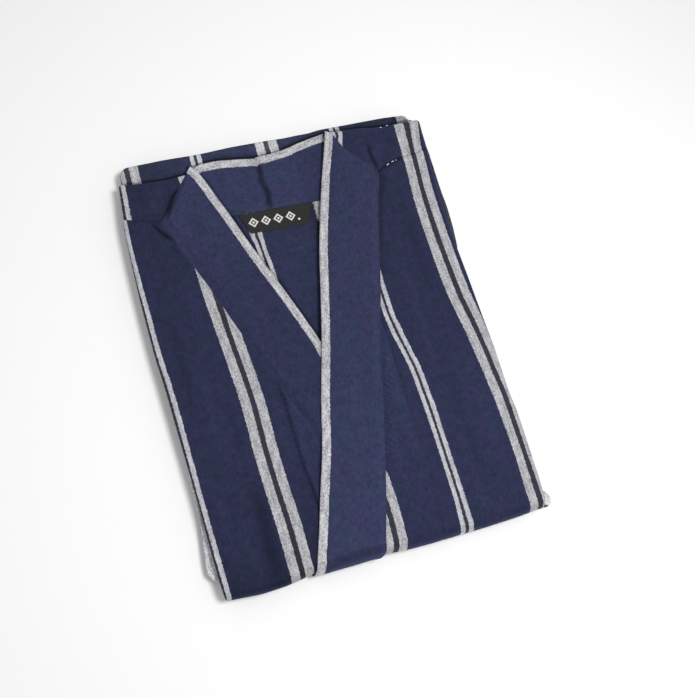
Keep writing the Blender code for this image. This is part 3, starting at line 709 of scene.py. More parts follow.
def front(side, cloth):
    """A front panel, from the shoulder seam to the roll, folded under along its side edge."""
    half = HALVES[side]
    outward = half.outward

    def place(u, v):
        from_side = u if outward < 0 else 1 - u
        middle_y = along_half(v, half.middle, half)
        edge = read(SIDE_FOLDS, middle_y, side)
        start = edge - outward * half.edge_radius
        folded = from_side < FOLD_SHARE
        round_x, round_depth, reach = side_fold(from_side / FOLD_SHARE, edge, outward, half.edge_radius)
        seam_x = read(half.front_edge, middle_y, "x")
        flat_x = between(start, seam_x, (from_side - FOLD_SHARE) / (1 - FOLD_SHARE))
        x = np.where(folded, round_x, flat_x)
        unrolled = np.where(folded, start + outward * reach, flat_x)
        y = along_half(v, np.where(folded, start, x), half)
        to_seam = (read(half.front_edge, y, "x") - x) * outward
        overlap_top = between(*FRONT_ENDS, half.overlap_reach)
        sewn_below = 1 - eased(y, overlap_top, overlap_top + 25.0)
        to_shoulder = read(half.shoulder_line, x, "seam") - SEAM - y
        folds = creased(unrolled, y, f"{side}_front")
        seams = half.overlap_strength * seam_relief(to_seam, y, 11) * sewn_below
        seams += half.shoulder_strength * seam_relief(to_shoulder, x, 17)
        near_collar = by_collar(x, y, side)
        relief = (loft(unrolled, y) + seams) * calm(x, y, side) + folds
        relief = relief * (1 - 0.6 * eased(reach, 0, half.edge_radius) * folded) + near_collar
        facing_up = np.where(folded, np.cos(reach / half.edge_radius), 1.0)
        depth = np.where(folded, round_depth, 0.0) - relief * facing_up
        # Painted shade and light: in the creases, seams and gathers, along the front, round the bottom roll
        # and in the hollow by the left collar; plus the shoulder seam's tone and the right side fold's paler
        # edge.
        shade = crease_shade(folds) + PUCKER_SHADE * (seams + near_collar) + read(half.tones, y, "x")
        shade += roll_painted_light(x, y, half.top, 0.12) + collar_hollow_painted_shade(x, y, side)
        shade += shoulder_seam_shade(to_shoulder, side) + side_fold_shade(reach, y, side)
        return laid(x, y, depth, half.top), threads_at(half.front_threads, unrolled, y), y, shade

    return cloth_sheet(f"{side}_front_cloth", 100, 300, place, cloth.thickness)


def overlap(side, cloth):
    """The tapered overlap panel between a front and its collar."""
    half = HALVES[side]
    top_share = ROLL_SHARE + half.overlap_reach * (1 - ROLL_SHARE)

    def place(u, v):
        share = v * top_share
        middle_y = along_half(share, half.middle, half)
        seam = read(half.front_edge, middle_y, "x") - half.outward * 2 * SEAM
        hidden = read(half.overlap_edge, middle_y, "x")
        x = between(seam, hidden, u if half.outward < 0 else 1 - u)
        y = along_half(share, x, half)
        to_seam = np.abs(read(half.front_edge, y, "x") - x)
        folds = creased(x, y, f"{side}_overlap")
        seam = half.overlap_strength * seam_relief(-to_seam, y, 11)
        near_collar = by_collar(x, y, side)
        relief = (loft(x, y) + seam) * calm(x, y, side) + folds + near_collar
        # Painted shade and light: in the creases, seam and gathers, round the bottom roll and in the hollow
        # by the left collar; plus the change of tone along the overlap.
        shade = crease_shade(folds) + PUCKER_SHADE * (seam + near_collar)
        shade += read(OVERLAP_TONES, y, "x") + roll_painted_light(x, y, half.top, 0.12) + collar_hollow_painted_shade(x, y, side)
        return laid(x, y, -relief, half.top), threads_at(half.overlap_threads, x, y), y, shade

    return cloth_sheet(f"{side}_overlap_cloth", 22 if side == "left" else 44, 160, place, cloth.thickness)


def turned_down(x_past, y_past, radius):
    """(x, y, drop) of cloth that runs past where its two edges turn down; a corner has one round for both."""
    across, along = np.maximum(x_past, 0.0), np.maximum(y_past, 0.0)
    reach = np.maximum(across, along)
    longer = np.maximum(reach, 1e-9)
    turn = math.pi / 4 * np.where(across >= along, along / longer, 2 - across / longer)
    arc = np.minimum(reach / radius, math.pi / 2)
    out = radius * np.sin(arc)
    drop = radius * (1 - np.cos(arc)) + np.maximum(reach - radius * math.pi / 2, 0.0)
    return out * np.cos(turn), out * np.sin(turn), drop


def shoulder(side, cloth):
    """The back's shoulder, brought over the fold at the top and sewn to the front."""
    half = HALVES[side]
    outward = half.outward
    radius = half.edge_radius
    line = half.shoulder_line
    turn_length = radius * math.pi / 2 + half.top - SHOULDER_EDGE - radius
    side_share, fold_share = 0.11, 0.18

    def place(u, v):
        from_side = u if outward < 0 else 1 - u
        x_past = turn_length * (1 - from_side / side_share)
        y_past = turn_length * (1 - (1 - v) / fold_share)
        flat_u = np.maximum((from_side - side_share) / (1 - side_share), 0.0)
        flat_v = np.minimum(v / (1 - fold_share), 1.0)
        middle_y = between(read(line, half.middle, "seam"), read(line, half.middle, "fold"), flat_v)
        edge = read(SIDE_FOLDS, middle_y, side) - outward * radius
        flat_x = between(edge, between(half.neck_seam_x, half.neck_fold_x, flat_v), flat_u)
        flat_y = between(read(line, flat_x, "seam") + SEAM, read(line, flat_x, "fold") - radius, flat_v)
        out_x, out_y, drop = turned_down(x_past, y_past, radius)
        unrolled = flat_x + outward * np.maximum(x_past, 0.0)
        folds = creased(flat_x, flat_y, f"{side}_shoulder")
        relief = loft(unrolled, flat_y)
        relief += half.shoulder_strength * seam_relief(read(line, flat_x, "seam") - flat_y, flat_x, 17)
        relief = relief * calm(flat_x, flat_y, side) + folds + lifted(past_collar(flat_x, flat_y, side), 6.0)
        relief = relief * (1 - 0.7 * eased(drop, 0.0, radius))
        points = np.stack((flat_x + outward * out_x, flat_y + out_y, half.top - drop + relief), -1)
        threads = threads_at(half.shoulder_threads, unrolled, flat_y)
        # Painted shade and light: in the creases, and the front's painted light at its top end; plus the
        # paler side fold and the seam's tone.
        shade = crease_shade(folds) + half.tones[-1].x
        shade += side_fold_shade(np.maximum(x_past, 0.0), flat_y, side)
        shade += shoulder_seam_shade(read(line, flat_x, "seam") - flat_y, side)
        return points, threads, flat_y + np.maximum(y_past, 0.0), shade

    return cloth_sheet(f"{side}_shoulder_cloth", 72, 48, place, cloth.thickness)


def band_profile(length, width, slope):
    """(distance from the seam edge, depth, cloth past the flat) at a length of cloth from the band's foot.

    The band rises from its seam edge in a soft slope and turns under along its folded edge."""
    wall = BAND_FOOT - FOOT_RADIUS
    rise = np.clip(length, 0, wall)
    turn = np.clip((length - wall) / FOOT_RADIUS, 0, math.pi / 2)
    past_foot = length - wall - FOOT_RADIUS * math.pi / 2
    flat_length = width - FOOT_RADIUS - BAND_EDGE_RADIUS
    flat = np.clip(past_foot, 0, flat_length)
    far_turn = np.clip((past_foot - flat_length) / BAND_EDGE_RADIUS, 0, math.pi)
    under = np.maximum(past_foot - flat_length - math.pi * BAND_EDGE_RADIUS, 0)
    at = FOOT_RADIUS * (1 - np.cos(turn)) + flat + BAND_EDGE_RADIUS * np.sin(far_turn) - under
    sunk = (BAND - BAND_FOOT) * (1 - eased(at, 0.0, slope))
    foot = BAND_FOOT - rise - FOOT_RADIUS * np.sin(turn)
    return at, foot + sunk + BAND_EDGE_RADIUS * (1 - np.cos(far_turn)), past_foot - flat_length


def collar(side, cloth):
    """A collar band: sewn on in a soft slope, flat, and turned under along its folded inner edge."""
    data = COLLARS[side]
    rows = data.sections[-1].row

    def place(u, v):
        row = v * rows
        places = (read(data.sections, row, name) for name in BandSection._fields[1:])
        outer_x, outer_y, inner_x, inner_y, drop = places
        width = np.linalg.norm(np.stack((inner_x - outer_x, inner_y - outer_y), -1), axis=-1)
        foot = BAND_FOOT - FOOT_RADIUS + FOOT_RADIUS * math.pi / 2
        length = foot + width - FOOT_RADIUS - BAND_EDGE_RADIUS + math.pi * BAND_EDGE_RADIUS + BAND_TUCK
        from_outer = u if data.sections[0].outer_x < data.sections[0].inner_x else 1 - u
        slope = np.minimum(data.slope * (1 + 0.3 * uneven(row * 9.0, row * 0, 30.0, 83)), 0.4 * width)
        at, depth, past_flat = band_profile(from_outer * length, width, slope)
        inward = at / width
        x = between(outer_x, inner_x, inward)
        y = between(outer_y, inner_y, inward)
        across = collar_thread(BAND_EDGE_RADIUS * math.pi / 2 - past_flat)
        ridge = 0.22 * hump(at - 7.5, 2.2) * (0.6 + 0.4 * uneven(y, y * 0, 40.0, 23))
        ridge += 0.2 * hump(width - at - 12.0, 2.2)
        folds = creased(x, y, f"{side}_collar")
        relief = 0.9 * loft(x, y) + folds + ridge
        relief -= 0.5 * hump((y - 2.6) - 0.32 * (x + 7.5), 0.9) if side == "right" else 0
        relief = relief * eased(at, 0.0, 5.0) * (1 - eased(past_flat, -1.0, BAND_EDGE_RADIUS))
        # Painted shade and light: in the creases and round the bottom roll; plus the change of tone along the
        # collar.
        shade = crease_shade(folds) + roll_painted_light(x, y, data.top, 0.3) + read(COLLAR_TONES[side], y, "x")
        # A painted highlight on the right collar beside its outer edge, where its slope faces the light.
        shade += 0.1 * hump(at - 5.0, 3.0) if side == "right" else 0
        points = laid(x, y, depth - relief, data.top - drop * inward**2)
        return points, across, between(outer_y, inner_y, 0.5), shade

    thickness = COLLAR_THINNESS * cloth.thickness
    return cloth_sheet(f"{side}_collar_cloth", data.cells_across, data.cells_along, place, thickness)


def collar_thread(from_fold):
    """The thread of a collar's cloth at a distance from its fold."""
    return COLLAR_FOLD_THREAD + np.minimum(from_fold, 14.0) + 0.82 * np.maximum(from_fold - 14.0, 0.0)


def across_back(u, side_x, side):
    """Places across half of the back, between its centre seam and its side."""
    middle = CENTRE_SEAM + HALVES[side].outward * SEAM
    return between(middle, side_x, u) if side == "right" else between(side_x, middle, u)


def collar_painted_shadow(x, y, by_left, by_right):
    """Painted shadow in the neck opening, beside the left collar's folded edge and towards the right collar.
    """
    return by_left * (1 - eased(x - read(LEFT_FOLD, y, "x"), 2.6, 5.2)) + by_right * eased(x, 4.0, 18.0)


def back_collar(side, cloth):
    """Half of the band behind the neck, from its seam on the back up to its folded edge."""
    jog = 0.6 if side == "right" else -0.5  # the two halves' edges don't quite meet
    radius = BAND_EDGE_RADIUS

    def place(u, v):
        from_top = (1 - v) * BACK_BAND
        turn = np.clip((math.pi / 2 * radius + BAND_TUCK - from_top) / radius, 0, math.pi / 2)
        share = np.minimum(v * BACK_BAND / (BACK_BAND - math.pi / 2 * radius - BAND_TUCK), 1.0)
        x = across_back(u, read(BACK_SIDES, between(COLLAR_SEAM, NECK_EDGE[0].y, share), side), side)
        edge_y = read(NECK_EDGE, x, "y") + jog * hump(x - CENTRE_SEAM - HALVES[side].outward * SEAM, 22.0)
        y = between(COLLAR_SEAM + SEAM, edge_y - radius, share)
        from_seam = np.abs(x - CENTRE_SEAM)
        x = x + read(SEAM_WANDER, y, "x") * hump(from_seam, 12.0)
        relief = 0.9 * loft(x, y) + creased(x, y, "back_collar")
        depth = eased(y, 136.0, 146.0)
        relief += 0.8 * gathered(from_seam * HALVES[side].outward, y, 29) - 0.5 * hump(y - COLLAR_SEAM, 1.2)
        groove = -depth * (0.8 + 0.2 * uneven(y, y * 0, 7.0, 47)) * hump(from_seam, 3.0)
        relief = (relief + 1.7 * groove + 0.15 * depth * hump(from_seam - 4.5, 2.0)) * np.cos(turn)
        y_round = y + radius * np.sin(turn)
        z = BACK_COLLAR_TOP - radius * (1 - np.cos(turn)) * 1.8 + relief
        points = np.stack((x, y_round, z - 0.1 * np.maximum(BAND_TUCK - from_top, 0)), -1)
        across = collar_thread((edge_y - y_round) * (turn <= 0) + (1 - np.sin(turn)) * radius * (turn > 0))
        # Painted shade in the centre seam's groove and the collars' painted shadows on the band, which is a
        # little lighter overall.
        shade = (0.12 + 0.75 * groove - collar_painted_shadow(x, y, 0.35, 0.12)) * np.cos(turn)
        return points, across, x, shade

    return cloth_sheet(f"back_collar_{side}_cloth", 84, 60, place, COLLAR_THINNESS * cloth.thickness)


def back(side, cloth):
    """Half of the back's inside, from the collar seam down to where the fronts cover it."""

    def place(u, v):
        y = between(BACK_SIDES[0].y, COLLAR_SEAM - SEAM, v)
        x = across_back(u, read(BACK_SIDES, y, side), side)
        relief = 0.8 * loft(x, y) + creased(x, y, "back")
        relief += 0.4 * gathered(x - CENTRE_SEAM, y, 31) - 0.5 * hump(y - COLLAR_SEAM, 1.2)
        # Darker overall, with the collars' painted shadows on the back.
        shade = -0.13 - collar_painted_shadow(x, y, 0.5, 0.32)
        return np.stack((x, y, BACK_TOP + relief), -1), threads_at(BACK_THREADS[side], x, y), y, shade

    return cloth_sheet(f"{side}_back_cloth", 36, 110, place, cloth.thickness)


def label_ends(y):
    """The label's left and right ends at a place up its height."""
    share = (y - LABEL.bottom) / (LABEL.top - LABEL.bottom)
    left = between(LABEL.left_bottom, LABEL.left_top, share)
    return left, between(LABEL.right_bottom, LABEL.right_top, share)


def neck_label():
    """The woven label sewn on the back, just under the collar's seam, its ends turned under."""

    def place(u, v):
        y = between(LABEL.bottom, LABEL.top, v)
        left, right = label_ends(y)
        x = between(left, right, u)
        to_edge = np.minimum(np.minimum(x - left, right - x), np.minimum(y - LABEL.bottom, LABEL.top - y))
        hem = 0.16 * hump(to_edge - 3.2, 0.9) - 0.28 * hump(to_edge, 0.8)
        relief = 0.8 * loft(x, y) + hem + 0.12 * uneven(x, y, 11.0, 41)
        return np.stack((x, y, LABEL_TOP + relief), -1), x - LABEL.left_top, y - LABEL.bottom, x * 0

    return cloth_sheet("neck_label_tape", 96, 28, place, TAPE_THICKNESS)


# ---------------------------------------------------------------- the folded layers under them


def slipped(layer, side, place):
    """How far a layer slips out of the stack at places along one of its sides."""
    return read(SLIPS[layer, side], place, "out") if (layer, side) in SLIPS else 0.0


def layer_points(number, across, along, inset):
    """Points of a layer's outline at shares of its width and length, corners round, and how each faces."""
    layer = LAYERS[number]
    near_x = between(PLAIN.left, PLAIN.right, across)
    near_y = between(PLAIN.bottom, PLAIN.top, along)
    left = read(SIDE_FOLDS, near_y, "left") + layer.left - slipped(number, "left", near_y) + inset
    right = read(SIDE_FOLDS, near_y, "right") - layer.right + slipped(number, "right", near_y) - inset
    upper = read(TOP_EDGE, near_x, "y") - layer.top + slipped(number, "top", near_x) - inset
    reach = between(layer.bottom_left, layer.bottom_right, eased(near_x, *REACH_CHANGE))
    lower = read(BOTTOM_FOLD, near_x, "y") - reach - slipped(number, "bottom", near_x) + inset
    x = between(left, right, across)
    y = between(lower, upper, along)
    corner = np.where((across > 0.5) & (along > 0.5), TIGHT_CORNER, CORE_CORNER)
    out_x = x - np.clip(x, left + corner, right - corner)
    out_y = y - np.clip(y, lower + corner, upper - corner)
    reach_out = np.maximum(np.hypot(out_x, out_y), 1e-9)
    pull = np.where((out_x != 0) & (out_y != 0), np.maximum(abs(out_x), abs(out_y)) / reach_out, 1.0)
    x = x - out_x * (1 - pull)
    y = y - out_y * (1 - pull)
    return x, y, out_x / reach_out, out_y / reach_out


def core_height(x, y):
    """Top of the core: raised under the fronts, low in the neck opening and along the edges."""
    rise = eased(x, read(RISE, y, "start"), read(RISE, y, "end"))
    raised = between(HALVES["left"].top, HALVES["right"].top, rise) - CLOTH_BELOW - CORE_TOP
    left_fold = read(LEFT_SHOULDER_LINE, x, "fold")
    right_fold = read(RIGHT_SHOULDER_LINE, x, "fold")
    neck_left = read(BACK_SIDES, y, "left") - x
    neck_right = x - read(BACK_SIDES, y, "right")
    away = (
        eased(x - read(SIDE_FOLDS, y, "left"), *LEFT_SLOPE),
        eased(read(SIDE_FOLDS, y, "right") - x, *RIGHT_SLOPE),
        eased(np.where(x < CENTRE_SEAM, left_fold, right_fold) - y, *SHOULDER_SLOPE),
        eased(y - read(BOTTOM_FOLD, x, "y"), *BOTTOM_SLOPE),
        eased(np.maximum(np.maximum(neck_left, neck_right), BACK_SIDES[0].y - y), *NECK_SLOPE),
    )
    return CORE_TOP + raised * np.minimum.reduce(away)


def core_painted_shade(x, y):
    """Painted light and shade on the core's top: a painted shadow in under the cloth in front, painted
    highlights on the plies' edges, and the painted light along the top edge.
    """
    left = x < CENTRE_SEAM
    shoulder_fold = np.where(left, read(LEFT_SHOULDER_LINE, x, "fold"), read(RIGHT_SHOULDER_LINE, x, "fold"))
    behind_neck = (x > HALVES["left"].neck_fold_x) & (x < HALVES["right"].neck_fold_x)
    past = y - np.where(behind_neck, read(NECK_EDGE, x, "y"), shoulder_fold)
    hidden = np.where(behind_neck, 1.7, np.where(left, 2.6, 4.0))
    past_side = x - read(SIDE_FOLDS, y, "right")
    painted_contact_shadow = np.where(past > 0, 1 - eased(past - hidden, 0.0, 2.4), 1 - eased(past_side, 2.2, 3.6))
    from_edge = slipped(TOP_LAYER, "right", y) - LAYERS[TOP_LAYER].right - past_side
    # Painted highlights on the plies' edges, where they catch the light.
    plies = 0.9 * hump(from_edge - 1.6, 0.9) * (past_side > 0) * eased(y, 36.0, 52.0)
    return read(TOP_PAINTED_LIGHT, x, "x") * eased(past, 1.0, 9.0) - 0.9 * painted_contact_shadow + plies


def spaced(count, span, fine_start, fine_end):
    """Shares of a span for count + 1 lines: a fine step near its ends, then evenly spread between them."""
    start = [line / span for line in fine_start]
    end = [1 - line / span for line in reversed(fine_end)]
    inside = count + 1 - len(start) - len(end)
    step = (end[0] - start[-1]) / (inside + 1)
    return np.array(start + [start[-1] + step * (i + 1) for i in range(inside)] + end)


def edge_rings():
    """Rings down the core's edge: (layer, inset, height), each ply a soft round with a groove above it."""
    rings = []
    for number in range(len(LAYERS) - 1, -1, -1):
        layer = LAYERS[number]
        ply = (layer.high - layer.low) / layer.plies
        for i in range(layer.plies):
            high = layer.high - i * ply
            if i or number < len(LAYERS) - 1:
                rings.append((number, GROOVE if i == 0 else PLY_GROOVE, high - 0.05))
            rings += [(number, inset, high - ply * (1 - share)) for inset, share in PLY_ROUND]
        rings.append((number, CORE_ROUNDING if number == 0 else GROOVE, layer.low))
    return rings


def edge_ring(number, inset, height, places):
    """One ring of points round the core's edge: its corners, threads and places along the cloth."""
    layer = LAYERS[number]
    x, y, face_x, face_y = layer_points(number, *places.T, inset)
    wave = 0.45 * uneven(x + y, x - y + 50.0 * number, 24.0, 60 + number) * (inset < GROOVE)
    x, y = x + wave * face_x, y + wave * face_y
    past = inset + (layer.high - height) * 0.8  # cloth from the layer's outline, round its edge
    round_x = face_x * (past - 1.5)
    if number == TOP_LAYER:
        threads = threads_at(CORE_THREADS, layer_points(number, *places.T, 0.0)[0] + round_x, y)
    else:
        threads = between(layer.left_thread, layer.right_thread, places[:, 0]) + round_x
    return x, y, threads, y + face_y * past


def write(vertex, layers, point, *values):
    """Puts a vertex in its place, and keeps its thread, its place along the cloth and its painted light and
    shade.
    """
    vertex.co = point
    for layer, value in zip(layers, values):
        vertex[layer] = value


def core_top(shape, layers):
    """Makes the core's top, a grid that is fine beside its edges; gives the shares of its rim's points."""
    side_fine = np.concatenate((np.arange(0, 12, 0.75), np.arange(12, 26, 2.0)))
    top_fine = np.concatenate((np.arange(0, 30, 1.0), np.arange(30, 44, 2.0)))
    columns, rows = 116, 132
    across_lines = spaced(columns, PLAIN.right - PLAIN.left, side_fine, side_fine)
    along_lines = spaced(rows, PLAIN.top - PLAIN.bottom, np.arange(0, 18, 2.0), top_fine)
    bmesh.ops.create_grid(shape, x_segments=columns, y_segments=rows, size=0.5)
    verts = list(shape.verts)
    plan = np.array([(v.co.x + 0.5, v.co.y + 0.5) for v in verts])
    share_x = across_lines[np.rint(plan[:, 0] * columns).astype(int)]
    share_y = along_lines[np.rint(plan[:, 1] * rows).astype(int)]
    x, y, _, _ = layer_points(TOP_LAYER, share_x, share_y, CORE_ROUNDING)
    rim = np.array([v.is_boundary for v in verts])
    z = np.where(rim, CORE_TOP, core_height(x, y) + creased(x, y, "folded_layers") + 0.5 * loft(x, y))
    for vertex, *point, across, tone in zip(verts, x, y, z, threads_at(CORE_THREADS, x, y), core_painted_shade(x, y)):
        write(vertex, layers, point, across, point[1], tone)
    return {verts[i]: (share_x[i], share_y[i]) for i in np.flatnonzero(rim)}


def core_sides(shape, layers, shares):
    """Grows the core's edge from the rim of its top, ring by ring, and closes it with a flat base."""
    edge = [e for e in shape.edges if e.is_boundary]
    for number, inset, height in edge_rings():
        grown = bmesh.ops.extrude_edge_only(shape, edges=edge)["geom"]
        fresh = [item for item in grown if isinstance(item, bmesh.types.BMVert)]
        edge = [item for item in grown if isinstance(item, bmesh.types.BMEdge) and item.is_boundary]
        above = [next(v for link in new.link_edges if (v := link.other_vert(new)) in shares) for new in fresh]
        shares = {new: shares[old] for new, old in zip(fresh, above)}
        ring = edge_ring(number, inset, height, np.array(list(shares.values())))
        # Painted light on the slipped layers' edges.
        tone = SLIPPED_PAINTED_LIGHT if 0 < number < TOP_LAYER else 0.0
        for vertex, x, y, across, along in zip(fresh, *ring):
            write(vertex, layers, (x, y, height), across, along, tone)
    bmesh.ops.triangle_fill(shape, use_beauty=True, edges=edge)


def in_order(shape):
    """Sorts a shape's faces by their places, as extruding leaves them in another order on each run."""
    by_place = sorted(shape.faces, key=lambda face: face.calc_center_median()[:])
    turns = {face: turn for turn, face in enumerate(by_place)}
    shape.faces.sort(key=turns.get)


def folded_core():
    """The rest of the robe, folded: one form whose edge shows its layers and plies, flat where it rests."""
    shape = bmesh.new()
    uv = shape.loops.layers.uv.new(UV_NAME)
    layers = [shape.verts.layers.float.new(name) for name in ("thread", "length", "shade")]
    core_sides(shape, layers, core_top(shape, layers))
    bmesh.ops.recalc_face_normals(shape, faces=shape.faces)
    in_order(shape)
    thread_layer, length_layer, _ = layers
    for face in shape.faces:
        for loop in face.loops:
            loop[uv].uv = (loop.vert[thread_layer] * MM, loop.vert[length_layer] * MM)
    into_place(shape)
    return object_of("folded_layers_cloth", shape)


# ---------------------------------------------------------------- stitches


def add_stitch(shape, start, end, radius):
    """One thread end to end between two points, swelling in the middle and sinking in at its ends."""
    start, end = Vector(start), Vector(end)
    made = bmesh.ops.create_icosphere(shape, subdivisions=2, radius=1.0)["verts"]
    run = end - start
    turn = Vector((1, 0, 0)).rotation_difference(run.normalized()).to_matrix().to_4x4()
    size = Matrix.Diagonal((run.length / 2, radius, radius * 0.8, 1.0))
    bmesh.ops.transform(shape, matrix=Matrix.Translation((start + end) / 2) @ turn @ size, verts=made)


def stitches(name, runs, material):
    """A joined mesh of many stitches: runs are (start, end, radius) in the tables' frame."""
    shape = bmesh.new()
    for start, end, radius in runs:
        add_stitch(shape, start, end, radius)
    into_place(shape)
    made = object_of(name, shape)
    made.data.materials.append(material)
    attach(made, "root")


def collar_stitch_runs():
    """Blind stitches that hold the right collar down, just outside its outer edge."""
    rows = np.arange(24.0, RIGHT_COLLAR[-1].row - 6.0, 0.95)
    rows = rows + 0.2 * np.sin(rows * 7.3)
    x, y = read(RIGHT_COLLAR, rows, "outer_x") + 1.2, read(RIGHT_COLLAR, rows, "outer_y")
    ahead = rows + 0.14
    ahead_x, ahead_y = read(RIGHT_COLLAR, ahead, "outer_x") + 1.0, read(RIGHT_COLLAR, ahead, "outer_y")
    z = HALVES["right"].top + 0.12 + loft(x, y)
    return [((a, b, c), (d, e, c + 0.1), 0.24) for a, b, c, d, e in zip(x, y, z, ahead_x, ahead_y)]


def label_stitch_runs():
    """Running stitches round the label, a little inside its edge."""
    inset, pitch, length = 1.3, 3.1, 2.0
    bottom, upper = LABEL.bottom + inset, LABEL.top - inset
    runs = []
    for y in (bottom, upper):
        left, right = label_ends(y)
        runs += [((x, y), (x + length, y)) for x in np.arange(left + inset, right - inset - length, pitch)]
    for y in np.arange(bottom + 1.0, upper - length, pitch):
        for low, high, inward in zip(label_ends(y), label_ends(y + length), (inset, -inset)):
            runs.append(((low + inward, y), (high + inward, y + length)))
    heights = LABEL_TOP + 0.1 + 0.8 * loft(*np.array([start for start, _ in runs]).T)
    return [((*start, z), (*end, z), 0.22) for (start, end), z in zip(runs, heights)]


# ---------------------------------------------------------------- finishes


class Finish:
    """The shader nodes of one material, added and joined one by one."""

    def __init__(self, name, colour, roughness, sheen):
        self.material = bpy.data.materials.new(name)
        self.material.use_nodes = True
        self.nodes = self.material.node_tree.nodes
        self.links = self.material.node_tree.links
        self.shader = self.nodes["Principled BSDF"]
        self.shader.inputs["Base Color"].default_value = (*colour, 1.0)
        self.shader.inputs["Roughness"].default_value = roughness
        self.shader.inputs["Specular IOR Level"].default_value = 0.1
        self.shader.inputs["Sheen Weight"].default_value = sheen
        self.shader.inputs["Sheen Roughness"].default_value = 0.5
        self.material.diffuse_color = (*colour, 1.0)

    def fill(self, socket, value):
        """Joins an output to the socket, or sets a value or colour on it."""
        if isinstance(value, bpy.types.NodeSocket):
            self.links.new(value, socket)
        else:
            socket.default_value = (*value, 1.0) if socket.type == "RGBA" else value

    def node(self, kind, settings=None, **inputs):
        made = self.nodes.new(kind)
        for key, value in (settings or {}).items():
            setattr(made, key, value)
        for key, value in inputs.items():
            self.fill(made.inputs[int(key[1:]) if key[1:].isdigit() else key], value)
        return made

    def math(self, operation, *values):
        inputs = {f"_{i}": value for i, value in enumerate(values)}
        return self.node("ShaderNodeMath", {"operation": operation}, **inputs).outputs[0]

    def apart(self, first, second):
        """How far apart two values are."""
        return self.math("ABSOLUTE", self.math("SUBTRACT", first, second))

    def waves(self, place, pitch):
        """Waves from -1 to 1 along a place."""
        return self.math("SINE", self.math("MULTIPLY", place, 2 * math.pi / pitch))

    def ramp(self, value, start, end, low=0.0, high=1.0):
        """The value, from start to end, turned smoothly into low to high."""
        settings = {"interpolation_type": "SMOOTHSTEP"}
        made = self.node("ShaderNodeMapRange", settings, _0=value, _1=start, _2=end, _3=low, _4=high)
        return made.outputs[0]

    def noise(self, vector, scale, detail=2.0, roughness=0.5, stretch=None):
        """Noise from 0 to 1, finer along an axis the more that axis is stretched."""
        if stretch:
            vector = self.node("ShaderNodeMapping", Vector=vector, Scale=stretch).outputs[0]
        made = self.node("ShaderNodeTexNoise", Vector=vector, Scale=scale, Detail=detail, Roughness=roughness)
        return made.outputs["Fac"]

    def mix(self, share, first, second):
        return self.node("ShaderNodeMix", {"data_type": "RGBA"}, Factor=share, _6=first, _7=second).outputs[2]

    def dimmed(self, colour, tone):
        return self.node("ShaderNodeVectorMath", {"operation": "SCALE"}, _0=colour, Scale=tone).outputs[0]

    def bump(self, height, distance, **under):
        return self.node("ShaderNodeBump", Height=height, Strength=1, Distance=distance, **under).outputs[0]

    def on_cloth(self):
        """The place on the cloth, and its two parts: across and along."""
        uv = self.node("ShaderNodeUVMap", {"uv_map": UV_NAME}).outputs[0]
        return uv, *self.node("ShaderNodeSeparateXYZ", Vector=uv).outputs[:2]

    def join(self, output, name):
        self.links.new(output, self.shader.inputs[name])


def scaled(colour, *by):
    """The colour times one number, or times one for each of its parts."""
    return tuple(part * share for part, share in zip(colour, by if len(by) > 1 else by * 3))


def stripe(finish, across, middle, spacing, width, period):
    """Two shares: 1 on a pair of stripes that comes again each period, and 1 from one to the other."""
    turn = finish.math("ADD", finish.math("DIVIDE", finish.math("SUBTRACT", across, middle), period), 0.5)
    from_middle = finish.apart(finish.math("FRACT", turn), 0.5)
    from_stripe = finish.apart(finish.math("MULTIPLY", from_middle, period), spacing / 2)
    inside = finish.ramp(from_middle, (spacing / 2 + 0.0003) / period, (spacing / 2 - 0.0003) / period)
    return finish.ramp(from_stripe, width / 2 + 0.00025, width / 2 - 0.00025), inside


